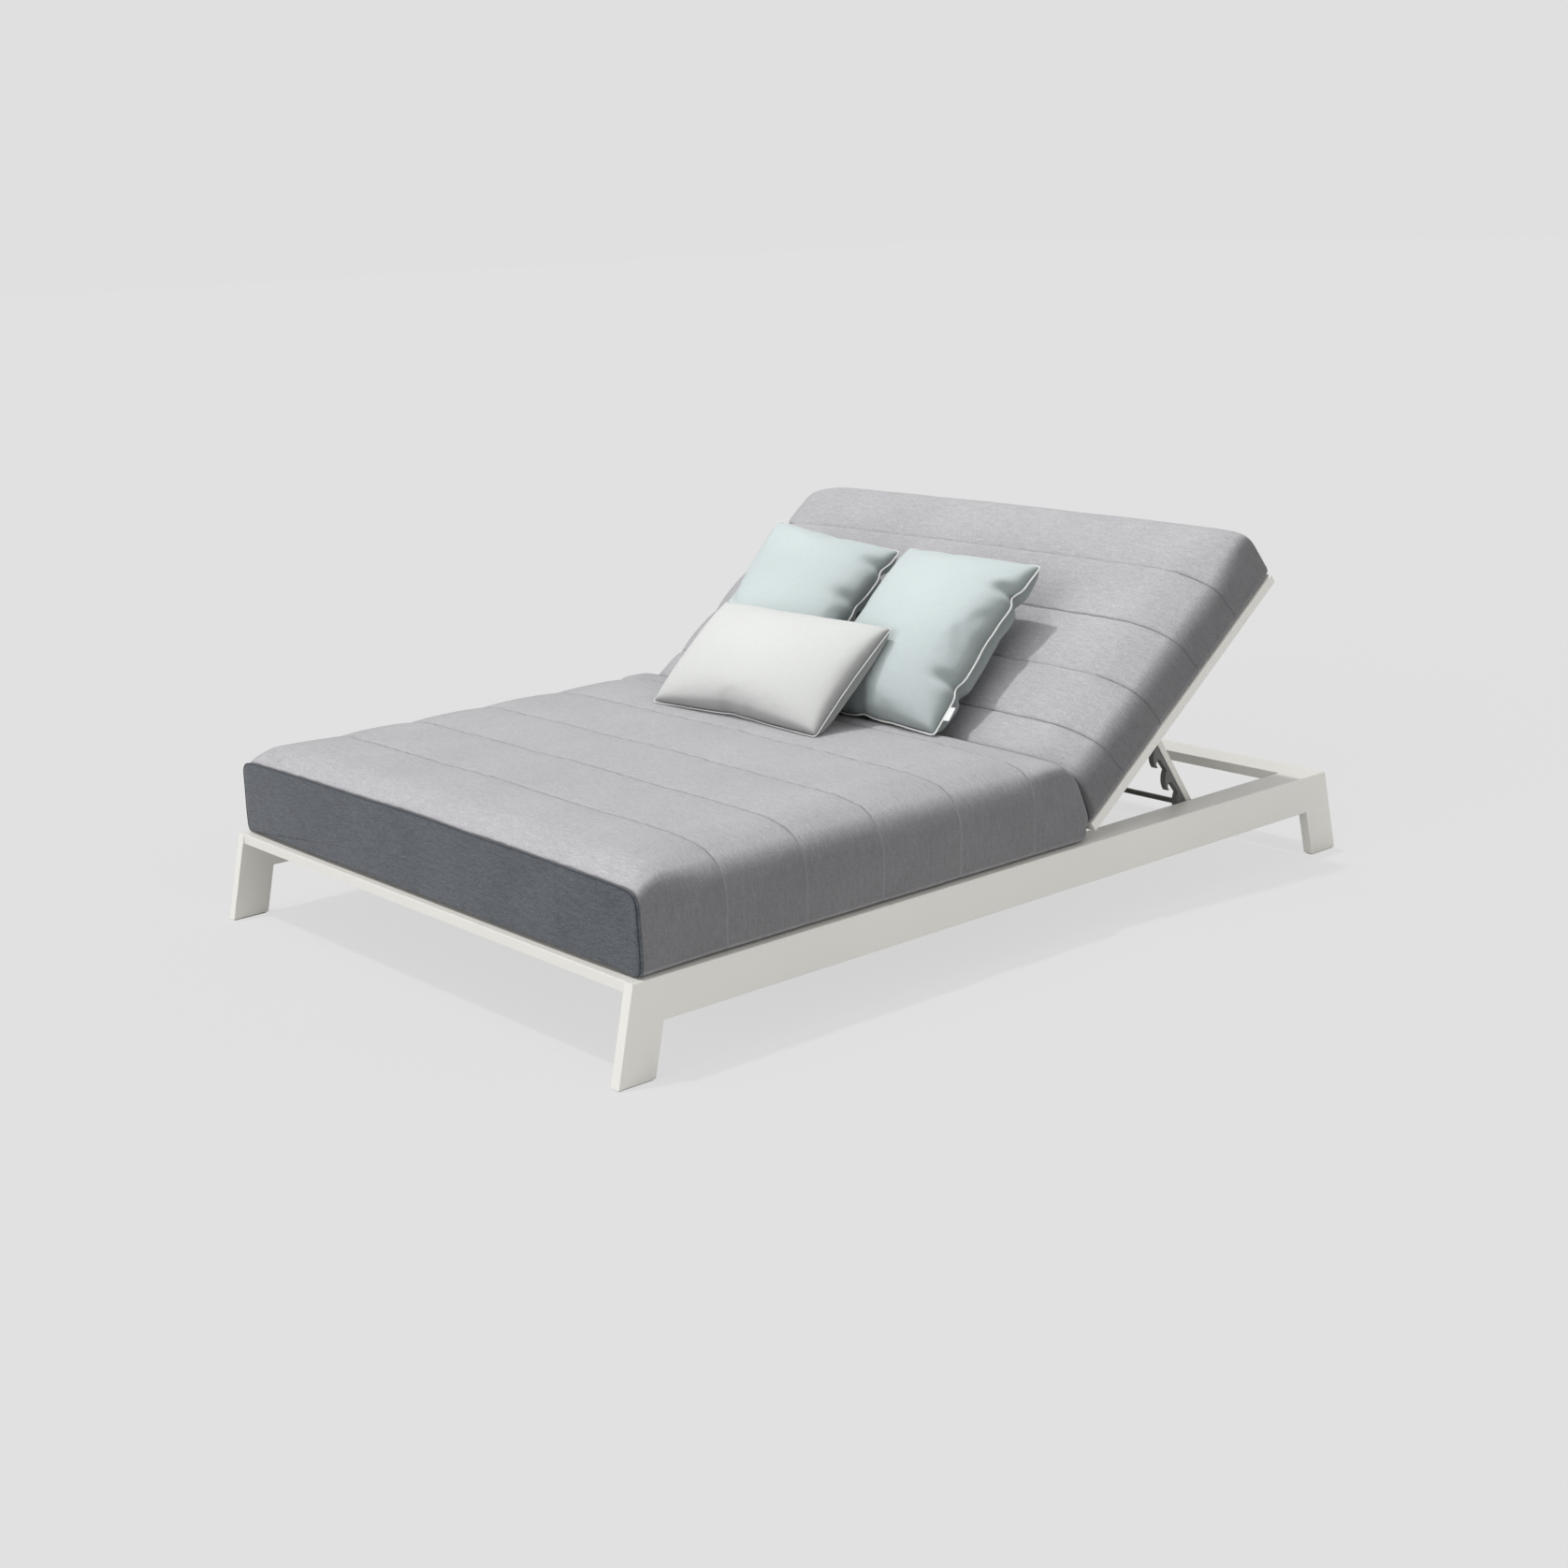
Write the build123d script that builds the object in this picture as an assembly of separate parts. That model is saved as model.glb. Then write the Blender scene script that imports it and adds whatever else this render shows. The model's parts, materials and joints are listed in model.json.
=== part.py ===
from build123d import *
import math
import os

# A double chaise lounger: a low welded frame on splayed legs, a channelled mattress in two parts, a
# backrest that stands on a pair of notched stays, and three loose pillows.
# Millimetres. X runs from the foot end to the head end, Z is up, and the origin is on the floor under
# the middle. Left is +Y, as seen from the foot end. The backrest is drawn in its raised position.

# Whole lounger
length = 2000.0
width = 1450.0
rail_top = 192.0
edge_round = 2.0
overrun = 5.0

# Side frames
plate_thick = 23.4
rail_depth = 84.5
leg_splay = 44.0
leg_top_width = 65.0
leg_foot_width = 84.5
glide_thick = 3.0
glide_inset = 4.0

# Cross members
end_rail_width = 80.0
front_rail_depth = 21.3
rear_rail_depth = 22.2
ledge_width = 46.6
ledge_depth = 26.0
beam_width = 40.0
beam_depth = 40.0
front_beam_x = -380.0

# Slats of both frames
slat_width = 60.0
slat_thick = 8.0
slat_end_gap = 16.6
seat_slat_count = 10
seat_slat_first_gap = 15.0
back_slat_count = 6

# Backrest hinge
hinge_x = 213.0
hinge_drop = 15.6
hinge_lead = 31.8
raised_angle = 37.2
hinge_pin_radius = 5.0
hinge_boss_radius = 12.0
hinge_lug_thick = 12.0
hinge_ear_thick = 6.0
hinge_ledge_gap = 95.0
bracket_plate_thick = 6.0
bracket_margin = 8.0
bush_wall = 2.0
bush_fit = 0.02
running_fit = 0.05
side_gap = 0.25
pin_head_radius = 8.0
pin_head_thick = 3.0

# Backrest frame
back_frame_inset = 11.0
back_length = 738.0
back_tube_width = 40.0
back_tube_depth = 23.0
bumper_thick = 3.0
bumper_width = 20.0
bumper_inset = 25.7
rest_gap = 0.3

# Notched stays
stay_place = 304.0
stay_pivot_drop = 21.0
stay_ledge_gap = 15.0
stay_thick = 18.0
stay_bar_above = 12.0
stay_bar_below = 2.0
stay_eye_radius = 13.0
stay_length = 262.0
stay_pin_radius = 5.0
stay_ear_thick = 5.5
rack_thick = 14.0
rack_wall = 10.0
notch_pitch = 70.0
notch_count = 3
notch_radius = 8.0
notch_depth = 21.0
tooth_height = 33.0
tooth_lead = 36.0
tooth_tip = 6.0
rack_tail = 17.0
catch_pin_x = 594.0
catch_pin_z = 174.0
catch_pin_radius = 6.0
catch_gap = 0.4
tie_bar_radius = 6.0
tie_bar_place = 250.0

# Seat cushion
seat_front_x = -985.0
seat_panel_thick = 10.0
seat_panel_round = 9.0
seat_overhang = 1.0
seat_crest = 195.5
seat_seam = 191.0
seat_drawn_in = 5.0
seat_front_height = 171.0
seat_brow_height = 183.0
seat_brow_lead = 42.0
seat_seams = (-774.0, -580.0, -385.0, -174.0, 39.0)
seat_end_x = 203.0
cushion_gap = 0.4

# Back cushion, along the slope and square to it
back_cushion_inset = 5.0
back_crest = 151.0
back_seam = 143.0
back_drawn_in = 3.0
back_seams = (135.0, 282.0, 437.0, 596.0)
back_cushion_length = 745.0
back_end_depth = 114.0
back_end_lead = 12.0
back_brow_depth = 148.0
back_brow_lead = 36.0
back_end_narrowing = 9.0

# How far inward from a cushion's end its corners go from square to round
front_square_run = 120.0
rear_square_run = 73.0
top_square_run = 75.0

# The two cushions meet on a curve, from a place on the backrest's lower edge to the crease on top
crease_foot_rise = 3.0
crease_top_x = 112.0
crease_top_z = 386.0
crease_bulge = 16.0

# Pillows
square_width = 411.0
square_height = 467.0
square_front_depth = 78.0
square_back_depth = 85.0
square_right_place = (61.0, -196.0, 393.0)
square_right_turn = (0.6, 43.2, 0.0)
square_left_place = (80.0, 272.0, 411.9)
square_left_turn = (10.0, 41.0, -9.0)
lumbar_width = 551.0
lumbar_height = 310.0
lumbar_front_depth = 60.0
lumbar_back_depth = 66.0
lumbar_place = (-121.0, 55.0, 397.3)
lumbar_turn = (1.6, 40.2, 0.0)
piping = 6.0
pillow_drawn_in = 10.0
tag_length = 18.0
tag_width = 34.0
tag_thick = 1.2

# Shares of a cushion's half width and height, from its base edge to its shoulder
seat_outline_shares = ((0.978, 0.0), (1.0, 0.34), (0.986, 0.69), (0.962, 0.84), (0.857, 0.957))
back_outline_shares = ((0.994, 0.0), (0.992, 0.32), (0.978, 0.59), (0.93, 0.81), (0.81, 0.962))

# The same at a cushion's ends, where its corners are squarer
seat_end_shares = ((0.978, 0.0), (0.99, 0.4), (0.988, 0.8), (0.978, 0.885), (0.945, 0.93))
back_end_shares = ((0.996, 0.0), (0.993, 0.4), (0.991, 0.75), (0.983, 0.9), (0.955, 0.965))

# Shares of a sewn channel's length and of how full it is there
channel_place_shares = (0.0, 0.16, 0.5, 0.84)
channel_puff_shares = (0.0, 0.85, 1.0, 0.85)

# Where the bumpers are along the backrest, as shares of its length
bumper_place_shares = (0.542, 0.867)

# How far along its side seam the tag is sewn in, as a share of a pillow's height
tag_place_share = 0.13

# Where a hooked tooth turns over, as shares of its length and height
tooth_rise_shares = (0.25, 0.72)

# Worked out from the sizes above
plate_inner = width / 2 - plate_thick
rail_half = length / 2
ledge_inner = plate_inner - ledge_width
ledge_bottom = rail_top - ledge_depth
hinge_side_y = ledge_inner - hinge_ledge_gap
stay_outer_y = ledge_inner - stay_ledge_gap
back_half = width / 2 - back_frame_inset
seat_half_width = width / 2 + seat_overhang
back_half_width = width / 2 - back_cushion_inset
slat_half = plate_inner - slat_end_gap
slat_top = rail_top + slat_thick
hinge_z = rail_top - hinge_drop
bracket_x = hinge_x - hinge_boss_radius - bracket_margin
hinge_beam_x = bracket_x - bracket_plate_thick / 2 - beam_width / 2
flat_x = hinge_x + hinge_lead
flat_z = rail_top + rest_gap + bumper_thick + back_tube_depth
stay_pivot_x = flat_x + stay_place
stay_pivot_z = flat_z - back_tube_depth - stay_pivot_drop
hinge_axis = Axis((hinge_x, 0, hinge_z), (0, -1, 0))


def raised(shape):
    """Turns what is drawn with the backrest flat to where it is with the backrest up."""
    return shape.rotate(hinge_axis, raised_angle)


def raised_point(x, z):
    """Where a point of the flat backrest is with the backrest up, as x and z."""
    turn = math.radians(raised_angle)
    dx = x - hinge_x
    dz = z - hinge_z
    return (
        hinge_x + dx * math.cos(turn) - dz * math.sin(turn),
        hinge_z + dx * math.sin(turn) + dz * math.cos(turn),
    )


def block(x0, x1, y0, y1, z0, z1):
    """A box between two values on each axis."""
    middle = Pos((x0 + x1) / 2, (y0 + y1) / 2, (z0 + z1) / 2)
    return middle * Box(abs(x1 - x0), abs(y1 - y0), abs(z1 - z0))


def side_profile(points):
    """A face in the XZ plane from points of x and z."""
    return make_face(Polyline(*[(x, 0, z) for x, z in points], close=True))


def across(face, y0, y1):
    """A face of the XZ plane made solid between two values of Y."""
    return Pos(0, min(y0, y1), 0) * extrude(face, abs(y1 - y0), dir=(0, 1, 0))


def rod(x, z, radius, y0, y1):
    """A round bar along Y."""
    middle = Plane(origin=(x, (y0 + y1) / 2, z), z_dir=(0, 1, 0))
    return middle * Cylinder(radius, abs(y1 - y0))


def eye_profile(x, z, radius, foot):
    """The hull of a round eye and a straight foot, as a face in the XZ plane."""
    eye = Pos(x, z) * Circle(radius).edge()
    hull = make_hull([eye, Line(*foot)])
    return Plane.XZ * hull


# Side frames


def rounded_outside(plate, side, free_edges):
    """A plate with the long edges of its outer face rounded. The edges lie through the free points."""
    outer = side * width / 2
    chosen = []
    for edge in plate.edges().filter_by_position(Axis.Y, outer - rest_gap, outer + rest_gap):
        middle = edge @ 0.5
        if any(math.hypot(middle.X - x, middle.Z - z) < edge_round for x, z in free_edges):
            chosen.append(edge)
    return fillet(chosen, edge_round)


def midpoint(a, b):
    """Halfway between two points of x and z."""
    return ((a[0] + b[0]) / 2, (a[1] + b[1]) / 2)


def side_rail(side):
    """The deep flat rail of one side, mitred at both ends."""
    foot = rail_half - leg_top_width
    bottom = rail_top - rail_depth
    points = [(-rail_half, rail_top), (rail_half, rail_top), (foot, bottom), (-foot, bottom)]
    plate = across(side_profile(points), side * plate_inner, side * width / 2)
    free = [midpoint(points[0], points[1]), midpoint(points[2], points[3])]
    return rounded_outside(plate, side, free)


def leg_outline(end):
    """Corners of a leg at one end, from the rail's top corner round by the floor."""
    fall = 1 - glide_thick / rail_top
    inner_fall = 1 - glide_thick / (rail_top - rail_depth)
    inner_top = rail_half - leg_top_width
    inner_foot = rail_half + leg_splay - leg_foot_width
    return [
        (end * rail_half, rail_top),
        (end * (rail_half + leg_splay * fall), glide_thick),
        (end * (inner_top + (inner_foot - inner_top) * inner_fall), glide_thick),
        (end * inner_top, rail_top - rail_depth),
    ]


def leg(end, side):
    """A splayed leg, mitred to the side rail."""
    points = leg_outline(end)
    plate = across(side_profile(points), side * plate_inner, side * width / 2)
    free = [midpoint(points[0], points[1]), midpoint(points[2], points[3])]
    return rounded_outside(plate, side, free)


def foot_glides():
    """Four thin pads under the legs."""
    pads = []
    for end in (-1, 1):
        outer = leg_outline(end)[1][0] - end * glide_inset
        inner = leg_outline(end)[2][0] + end * glide_inset
        for side in (-1, 1):
            y0 = side * (plate_inner + glide_inset)
            y1 = side * (width / 2 - glide_inset)
            pads.append(block(inner, outer, y0, y1, 0, glide_thick))
    return pads


# Cross members and ledges


def end_rail(end, depth):
    """The thin wide rail across one end, with its outer top edge rounded."""
    x0 = end * (rail_half - end_rail_width)
    bar = block(x0, end * rail_half, -plate_inner, plate_inner, rail_top - depth, rail_top)
    outer = bar.edges().filter_by(Axis.Y).group_by(Axis.Z)[-1].sort_by(Axis.X)
    return fillet(outer[-1 if end > 0 else 0], edge_round)


def ledge(side):
    """The flat ledge along the inside of a side rail, between the end rails."""
    reach = rail_half - end_rail_width
    return block(-reach, reach, side * ledge_inner, side * plate_inner, ledge_bottom, rail_top)


def cross_beam(x):
    """A square beam from plate to plate, under the ledges."""
    half = beam_width / 2
    return block(x - half, x + half, -plate_inner, plate_inner, ledge_bottom - beam_depth, ledge_bottom)


def centre_bearer():
    """The bar down the middle, from the front rail to the hinge beam."""
    start = end_rail_width - rail_half
    end = hinge_beam_x + beam_width / 2
    return block(start, end, -beam_width / 2, beam_width / 2, ledge_bottom, rail_top)


def seat_slats():
    """Flat slats across the ledges and the centre bearer."""
    first = end_rail_width - rail_half + seat_slat_first_gap + slat_width / 2
    last = hinge_beam_x + beam_width / 2 - slat_width / 2
    step = (last - first) / (seat_slat_count - 1)
    slats = []
    for index in range(seat_slat_count):
        x = first + index * step
        start = x - slat_width / 2
        slats.append(block(start, start + slat_width, -slat_half, slat_half, rail_top, slat_top))
    return slats


# Backrest hinge


def eye_plate(x, z, radius, foot, bore, y0, y1):
    """A plate with a bored eye at one end and a straight foot at the other."""
    blank = across(eye_profile(x, z, radius, foot), y0, y1)
    return blank - rod(x, z, bore, y0 - overrun, y1 + overrun)


def headed_pin(x, z, radius, y0, y1, head_y0, head_y1):
    """A round pin with a flat head at each end."""
    pin = rod(x, z, radius, y0, y1)
    for y, way in ((head_y0, -1), (head_y1, 1)):
        pin += rod(x, z, pin_head_radius, y, y + way * pin_head_thick)
    return pin


def hinge_bracket(y):
    """Two ears on a back plate that is welded to the hinge beam."""
    plate_x = hinge_beam_x + beam_width / 2
    ear_x = plate_x + bracket_plate_thick
    inner = hinge_lug_thick / 2 + side_gap
    outer = inner + hinge_ear_thick
    low = ledge_bottom - beam_depth + edge_round
    half = outer + bracket_margin
    bracket = block(plate_x, ear_x, y - half, y + half, low, ledge_bottom)
    foot = [(ear_x, low + bracket_margin), (ear_x, ledge_bottom)]
    bore = hinge_pin_radius + running_fit
    for y0, y1 in ((y - outer, y - inner), (y + inner, y + outer)):
        bracket += eye_plate(hinge_x, hinge_z, hinge_boss_radius, foot, bore, y0, y1)
    return bracket


def hinge_pin(y):
    """The pin of one hinge."""
    outer = hinge_lug_thick / 2 + side_gap + hinge_ear_thick
    return headed_pin(hinge_x, hinge_z, hinge_pin_radius, y - outer, y + outer, y - outer, y + outer)


def hinge_lug(y):
    """The lug under the backrest's bottom rail, drawn with the backrest flat."""
    under = flat_z - back_tube_depth
    foot = [(flat_x + edge_round, under), (flat_x + back_tube_width - edge_round, under)]
    half = hinge_lug_thick / 2
    bore = hinge_pin_radius + bush_wall
    return raised(eye_plate(hinge_x, hinge_z, hinge_boss_radius, foot, bore, y - half, y + half))


def bush(x, z, pin_radius, y0, y1):
    """A plain bush round a pin."""
    outer = rod(x, z, pin_radius + bush_wall - bush_fit, y0, y1)
    return outer - rod(x, z, pin_radius + running_fit, y0 - overrun, y1 + overrun)


def hinge_bush(y):
    """The bush in one hinge lug."""
    half = hinge_lug_thick / 2
    return raised(bush(hinge_x, hinge_z, hinge_pin_radius, y - half, y + half))


# Backrest frame, drawn flat and then raised


def back_bar(s0, s1, y0, y1, n0, n1):
    """A bar of the backrest between two places along it, across it and square to it."""
    return raised(block(flat_x + s0, flat_x + s1, y0, y1, flat_z + n0, flat_z + n1))


def stile(side):
    """One long side of the backrest frame."""
    y0 = side * (back_half - back_tube_width)
    y1 = side * back_half
    bar = block(flat_x, flat_x + back_length, y0, y1, flat_z - back_tube_depth, flat_z)
    edges = bar.edges().filter_by(Axis.X).group_by(Axis.Y)[-1 if side > 0 else 0]
    return raised(fillet(edges, edge_round))


def rail_across(s0):
    """A rail of the backrest frame, between its stiles."""
    half = back_half - back_tube_width
    return back_bar(s0, s0 + back_tube_width, -half, half, -back_tube_depth, 0)


def cross_rail():
    """The rail that carries the stays, under the slats."""
    half = back_half - back_tube_width
    s0 = stay_place - back_tube_width / 2
    return back_bar(s0, s0 + back_tube_width, -half, half, -back_tube_depth, -slat_thick)


def mid_stile():
    """The middle bar, in two lengths, below and above the cross rail."""
    half = back_tube_width / 2
    lengths = ((back_tube_width, stay_place - half), (stay_place + half, back_length - back_tube_width))
    return [back_bar(s0, s1, -half, half, -back_tube_depth, -slat_thick) for s0, s1 in lengths]


def back_slats():
    """Flat slats between the stiles, level with the top of the frame."""
    half = back_half - back_tube_width
    room = back_length - 2 * back_tube_width
    gap = (room - back_slat_count * slat_width) / (back_slat_count + 1)
    slats = []
    for index in range(back_slat_count):
        s0 = back_tube_width + gap + index * (slat_width + gap)
        slats.append(back_bar(s0, s0 + slat_width, -half, half, -slat_thick, 0))
    return slats


def bumpers():
    """Square rubber pads under the stiles that land on the ledges."""
    half = bumper_width / 2
    top = -back_tube_depth
    pads = []
    for share in bumper_place_shares:
        s = back_length * share
        for side in (-1, 1):
            y = side * (back_half - bumper_inset)
            pads.append(back_bar(s - half, s + half, y - half, y + half, top - bumper_thick, top))
    return pads


# Notched stays


def stay_ear_faces():
    """Inner and outer faces of the two ears of a stay's clevis, as distances from the middle."""
    outer = stay_outer_y + side_gap
    inner = stay_outer_y - stay_thick - side_gap
    return (inner - stay_ear_thick, inner), (outer, outer + stay_ear_thick)


def stay_clevis(side):
    """Two ears under the cross rail that hold one stay."""
    under = flat_z - back_tube_depth
    half = back_tube_width / 2 - edge_round
    foot = [(stay_pivot_x - half, under), (stay_pivot_x + half, under)]
    ears = []
    for near, far in stay_ear_faces():
        y0, y1 = sorted((side * near, side * far))
        bore = stay_pin_radius + running_fit
        ears.append(raised(eye_plate(stay_pivot_x, stay_pivot_z, stay_eye_radius, foot, bore, y0, y1)))
    return ears


def stay_pin(side):
    """The pivot pin of one stay."""
    near, far = stay_ear_faces()
    y0, y1 = sorted((side * near[0], side * far[1]))
    return raised(headed_pin(stay_pivot_x, stay_pivot_z, stay_pin_radius, y0, y1, y0, y1))


def stay_angles():
    """How far along the stay its last notch is, and the stay's fall below level with the back raised."""
    pivot_x, pivot_z = raised_point(stay_pivot_x, stay_pivot_z)
    dx = catch_pin_x - pivot_x
    dz = pivot_z - catch_pin_z
    reach = math.hypot(dx, dz)
    along = math.sqrt(reach**2 - notch_depth**2)
    fall = math.degrees(math.atan2(dz, dx)) - math.degrees(math.atan2(notch_depth, reach))
    return along, fall


last_notch, stay_fall = stay_angles()


def swung(shape):
    """Turns a stay from lying along the flat backrest to its place under the raised one."""
    pivot = Axis((stay_pivot_x, 0, stay_pivot_z), (0, -1, 0))
    return raised(shape.rotate(pivot, -stay_fall - raised_angle))


def stay_y(thick):
    """The two faces of a bar of a stay, centred in the stay's thickness."""
    middle = stay_outer_y - stay_thick / 2
    return middle - thick / 2, middle + thick / 2


def stay_spine(side):
    """The flat bar of one stay, with an eye for its pivot and a round tail."""
    x, z = stay_pivot_x, stay_pivot_z
    bar_middle = z + (stay_bar_above - stay_bar_below) / 2
    tail = (stay_bar_above + stay_bar_below) / 2
    bar = Pos(x + (stay_length - tail) / 2, bar_middle) * Rectangle(stay_length - tail, 2 * tail)
    profile = bar + Pos(x, z) * Circle(stay_eye_radius)
    profile += Pos(x + stay_length - tail, bar_middle) * Circle(tail)
    y0, y1 = sorted(side * y for y in stay_y(stay_thick))
    blank = across(Plane.XZ * profile, y0, y1)
    return swung(blank - rod(x, z, stay_pin_radius + bush_wall, y0 - overrun, y1 + overrun))


def notched_outline():
    """The rack's outline, along the stay and below its bar: hooked teeth with a round notch under each."""
    lines = []
    start = (last_notch - (notch_count - 1) * notch_pitch - tooth_lead, -stay_bar_below)
    here = start
    for index in range(notch_count):
        seat = last_notch - (notch_count - 1 - index) * notch_pitch
        centre = seat + notch_radius - catch_pin_radius - rest_gap
        tip = centre + tooth_tip
        rise = (here[0] + (tip - here[0]) * tooth_rise_shares[0], -tooth_height * tooth_rise_shares[1])
        top = (tip - tooth_tip / 2, -tooth_height)
        lines.append(ThreePointArc(here, rise, top))
        lines.append(Line(top, (tip, -notch_depth - notch_radius)))
        lines.append(Line((tip, -notch_depth - notch_radius), (centre, -notch_depth - notch_radius)))
        upper = (centre, notch_radius - notch_depth)
        lines.append(ThreePointArc(lines[-1] @ 1, (centre - notch_radius, -notch_depth), upper))
        run = notch_pitch - tooth_lead if index < notch_count - 1 else rack_tail
        wall = (seat + run, -rack_wall)
        lines.append(Line(upper, wall))
        here = wall
    lines.append(Line(here, (here[0], -stay_bar_below)))
    lines.append(Line((here[0], -stay_bar_below), start))
    return make_face(lines)


def stay_rack(side):
    """The dark notched rack under one stay's bar."""
    profile = Pos(stay_pivot_x, stay_pivot_z) * notched_outline()
    y0, y1 = sorted(side * y for y in stay_y(rack_thick))
    return swung(across(Plane.XZ * profile, y0, y1))


def stay_bush(side):
    """The bush in one stay's eye."""
    y0, y1 = sorted(side * y for y in stay_y(stay_thick))
    return swung(bush(stay_pivot_x, stay_pivot_z, stay_pin_radius, y0, y1))


def tie_bar():
    """The round bar that joins the tails of the two stays."""
    half = stay_outer_y - stay_thick
    z = stay_pivot_z + (stay_bar_above - stay_bar_below) / 2
    return swung(rod(stay_pivot_x + tie_bar_place, z, tie_bar_radius, -half, half))


def catch_pins():
    """The pins on the ledges that the notches drop on. They stop just short of the stays."""
    inner = stay_outer_y + catch_gap
    pins = []
    for side in (-1, 1):
        pins.append(rod(catch_pin_x, catch_pin_z, catch_pin_radius, side * inner, side * ledge_inner))
    return pins


# Cushions


def cushion_section(plane, half_width, height, shares):
    """A cushion's outline across its width: a flat base, rounded sides and a crowned top."""
    base, side, side_top, shoulder, shoulder_top = [(half_width * a, height * b) for a, b in shares]
    right = [ThreePointArc(base, side, side_top), ThreePointArc(side_top, shoulder, shoulder_top)]
    left = [mirror(edge, about=Plane.YZ) for edge in right]
    top = ThreePointArc(shoulder_top, (0, height), (-shoulder_top[0], shoulder_top[1]))
    foot = Line((-base[0], base[1]), base)
    return plane * make_face([foot, *right, top, *left])


def squared_off(shares, end_shares, inward):
    """The shares of an outline near a cushion's end. Inward is 0 at the end and 1 where it is round."""
    square = min(1, max(0, 1 - inward))
    return [(a + (c - a) * square, b + (d - b) * square) for (a, b), (c, d) in zip(shares, end_shares)]


def seat_section(x, half_width, height):
    """An outline of the seat cushion at one place along it."""
    plane = Plane((x, 0, slat_top), x_dir=(0, 1, 0), z_dir=(1, 0, 0))
    from_front = (x - seat_front_x - seat_panel_thick) / front_square_run
    from_rear = (crease_top_x - x) / rear_square_run
    shares = squared_off(seat_outline_shares, seat_end_shares, min(from_front, from_rear))
    return cushion_section(plane, half_width, height, shares)


def back_section(s, half_width, height):
    """An outline of the back cushion at one place along the flat backrest."""
    plane = Plane((flat_x + s, 0, flat_z), x_dir=(0, 1, 0), z_dir=(1, 0, 0))
    from_top = (back_cushion_length - s) / top_square_run
    shares = squared_off(back_outline_shares, back_end_shares, from_top)
    return cushion_section(plane, half_width, height, shares)


def channel_outlines(section, seams, half_width, drawn_in, crest, seam):
    """Outlines of the sewn channels between the seams: full in the middle, drawn in at each seam."""
    outlines = []
    for start, end in zip(seams, seams[1:]):
        for along, puff in zip(channel_place_shares, channel_puff_shares):
            place = start + (end - start) * along
            half = half_width - drawn_in * (1 - puff)
            outlines.append(section(place, half, seam + (crest - seam) * puff))
    outlines.append(section(seams[-1], half_width - drawn_in, seam))
    return outlines


def crease_curve(gap):
    """The curve that parts the two cushions, from the backrest's lower edge to the crease, as points."""
    foot_x, foot_z = raised_point(flat_x, flat_z)
    foot = (foot_x + crease_foot_rise / 2 - gap, foot_z + crease_foot_rise)
    top = (crease_top_x - gap, crease_top_z - gap)
    run = (top[0] - foot[0], top[1] - foot[1])
    chord = math.hypot(*run)
    bulge = (run[1] / chord * crease_bulge, -run[0] / chord * crease_bulge)
    middle = ((foot[0] + top[0]) / 2 + bulge[0], (foot[1] + top[1]) / 2 + bulge[1])
    return foot, middle, top


def cut_across(lines):
    """A cutter that runs right across the cushions, from edges with x and z as their two values."""
    reach = width / 2 + seat_half_width
    return across(Plane.XZ * make_face(lines), -reach, reach)


def seat_cushion():
    """The long part of the mattress: five sewn channels and a rounded end under the backrest."""
    front = seat_front_x + seat_panel_thick
    brow = front + seat_brow_lead
    seams = (brow, *seat_seams, hinge_x + overrun)
    channels = channel_outlines(
        seat_section, seams, seat_half_width, seat_drawn_in, seat_crest, seat_seam
    )
    nose = [
        seat_section(front, seat_half_width, seat_front_height),
        seat_section(brow, seat_half_width, seat_brow_height),
    ]
    cushion = loft(nose + channels[2:], ruled=True)
    foot, middle, top = crease_curve(cushion_gap / 2)
    high = slat_top + 2 * seat_crest
    low = slat_top - overrun
    far = hinge_x + 2 * seat_crest
    waste = [
        Line((seat_end_x, low), (seat_end_x, foot[1])),
        Line((seat_end_x, foot[1]), foot),
        ThreePointArc(foot, middle, top),
        Line(top, (top[0] - crease_bulge, high)),
        Line((top[0] - crease_bulge, high), (far, high)),
        Line((far, high), (far, low)),
        Line((far, low), (seat_end_x, low)),
    ]
    return cushion - cut_across(waste)


def seat_front_panel():
    """The flat boxing panel across the cushion's front, in a darker cloth."""
    half = seat_panel_round / 2
    outlines = []
    for lead, narrowing in ((seat_panel_thick, 0), (seat_panel_thick / 2, half / 2), (0, seat_panel_round)):
        width_here = seat_half_width - narrowing
        height = seat_front_height - min(narrowing, half)
        outlines.append(seat_section(seat_front_x + lead, width_here, height))
    return loft(outlines, ruled=True)


def back_cushion():
    """The upper part of the mattress: five sewn channels, deeper than the seat's, and a rounded top end."""
    end = back_cushion_length
    seams = (-back_tube_width, *back_seams, end)
    channels = channel_outlines(
        back_section, seams, back_half_width, back_drawn_in, back_crest, back_seam
    )
    drawn = back_half_width - back_drawn_in
    tail = [
        back_section(end - back_brow_lead, back_half_width, back_brow_depth),
        back_section(end - back_end_lead, drawn, (back_brow_depth + back_end_depth) / 2),
        back_section(end, back_half_width - back_end_narrowing, back_end_depth),
    ]
    cushion = loft(channels[:-2] + tail, ruled=True)
    foot, middle, top = crease_curve(-cushion_gap / 2)
    low = foot[1] - back_seam
    far = foot[0] - 2 * back_crest
    high = top[1] + back_crest
    waste = [
        Line((foot[0], low), foot),
        ThreePointArc(foot, middle, top),
        Line(top, (top[0] - back_crest, high)),
        Line((top[0] - back_crest, high), (far, high)),
        Line((far, high), (far, low)),
        Line((far, low), (foot[0], low)),
    ]
    return raised(cushion) - cut_across(waste)


# Pillows, drawn upright: X across, Y out of the front, Z up


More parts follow.
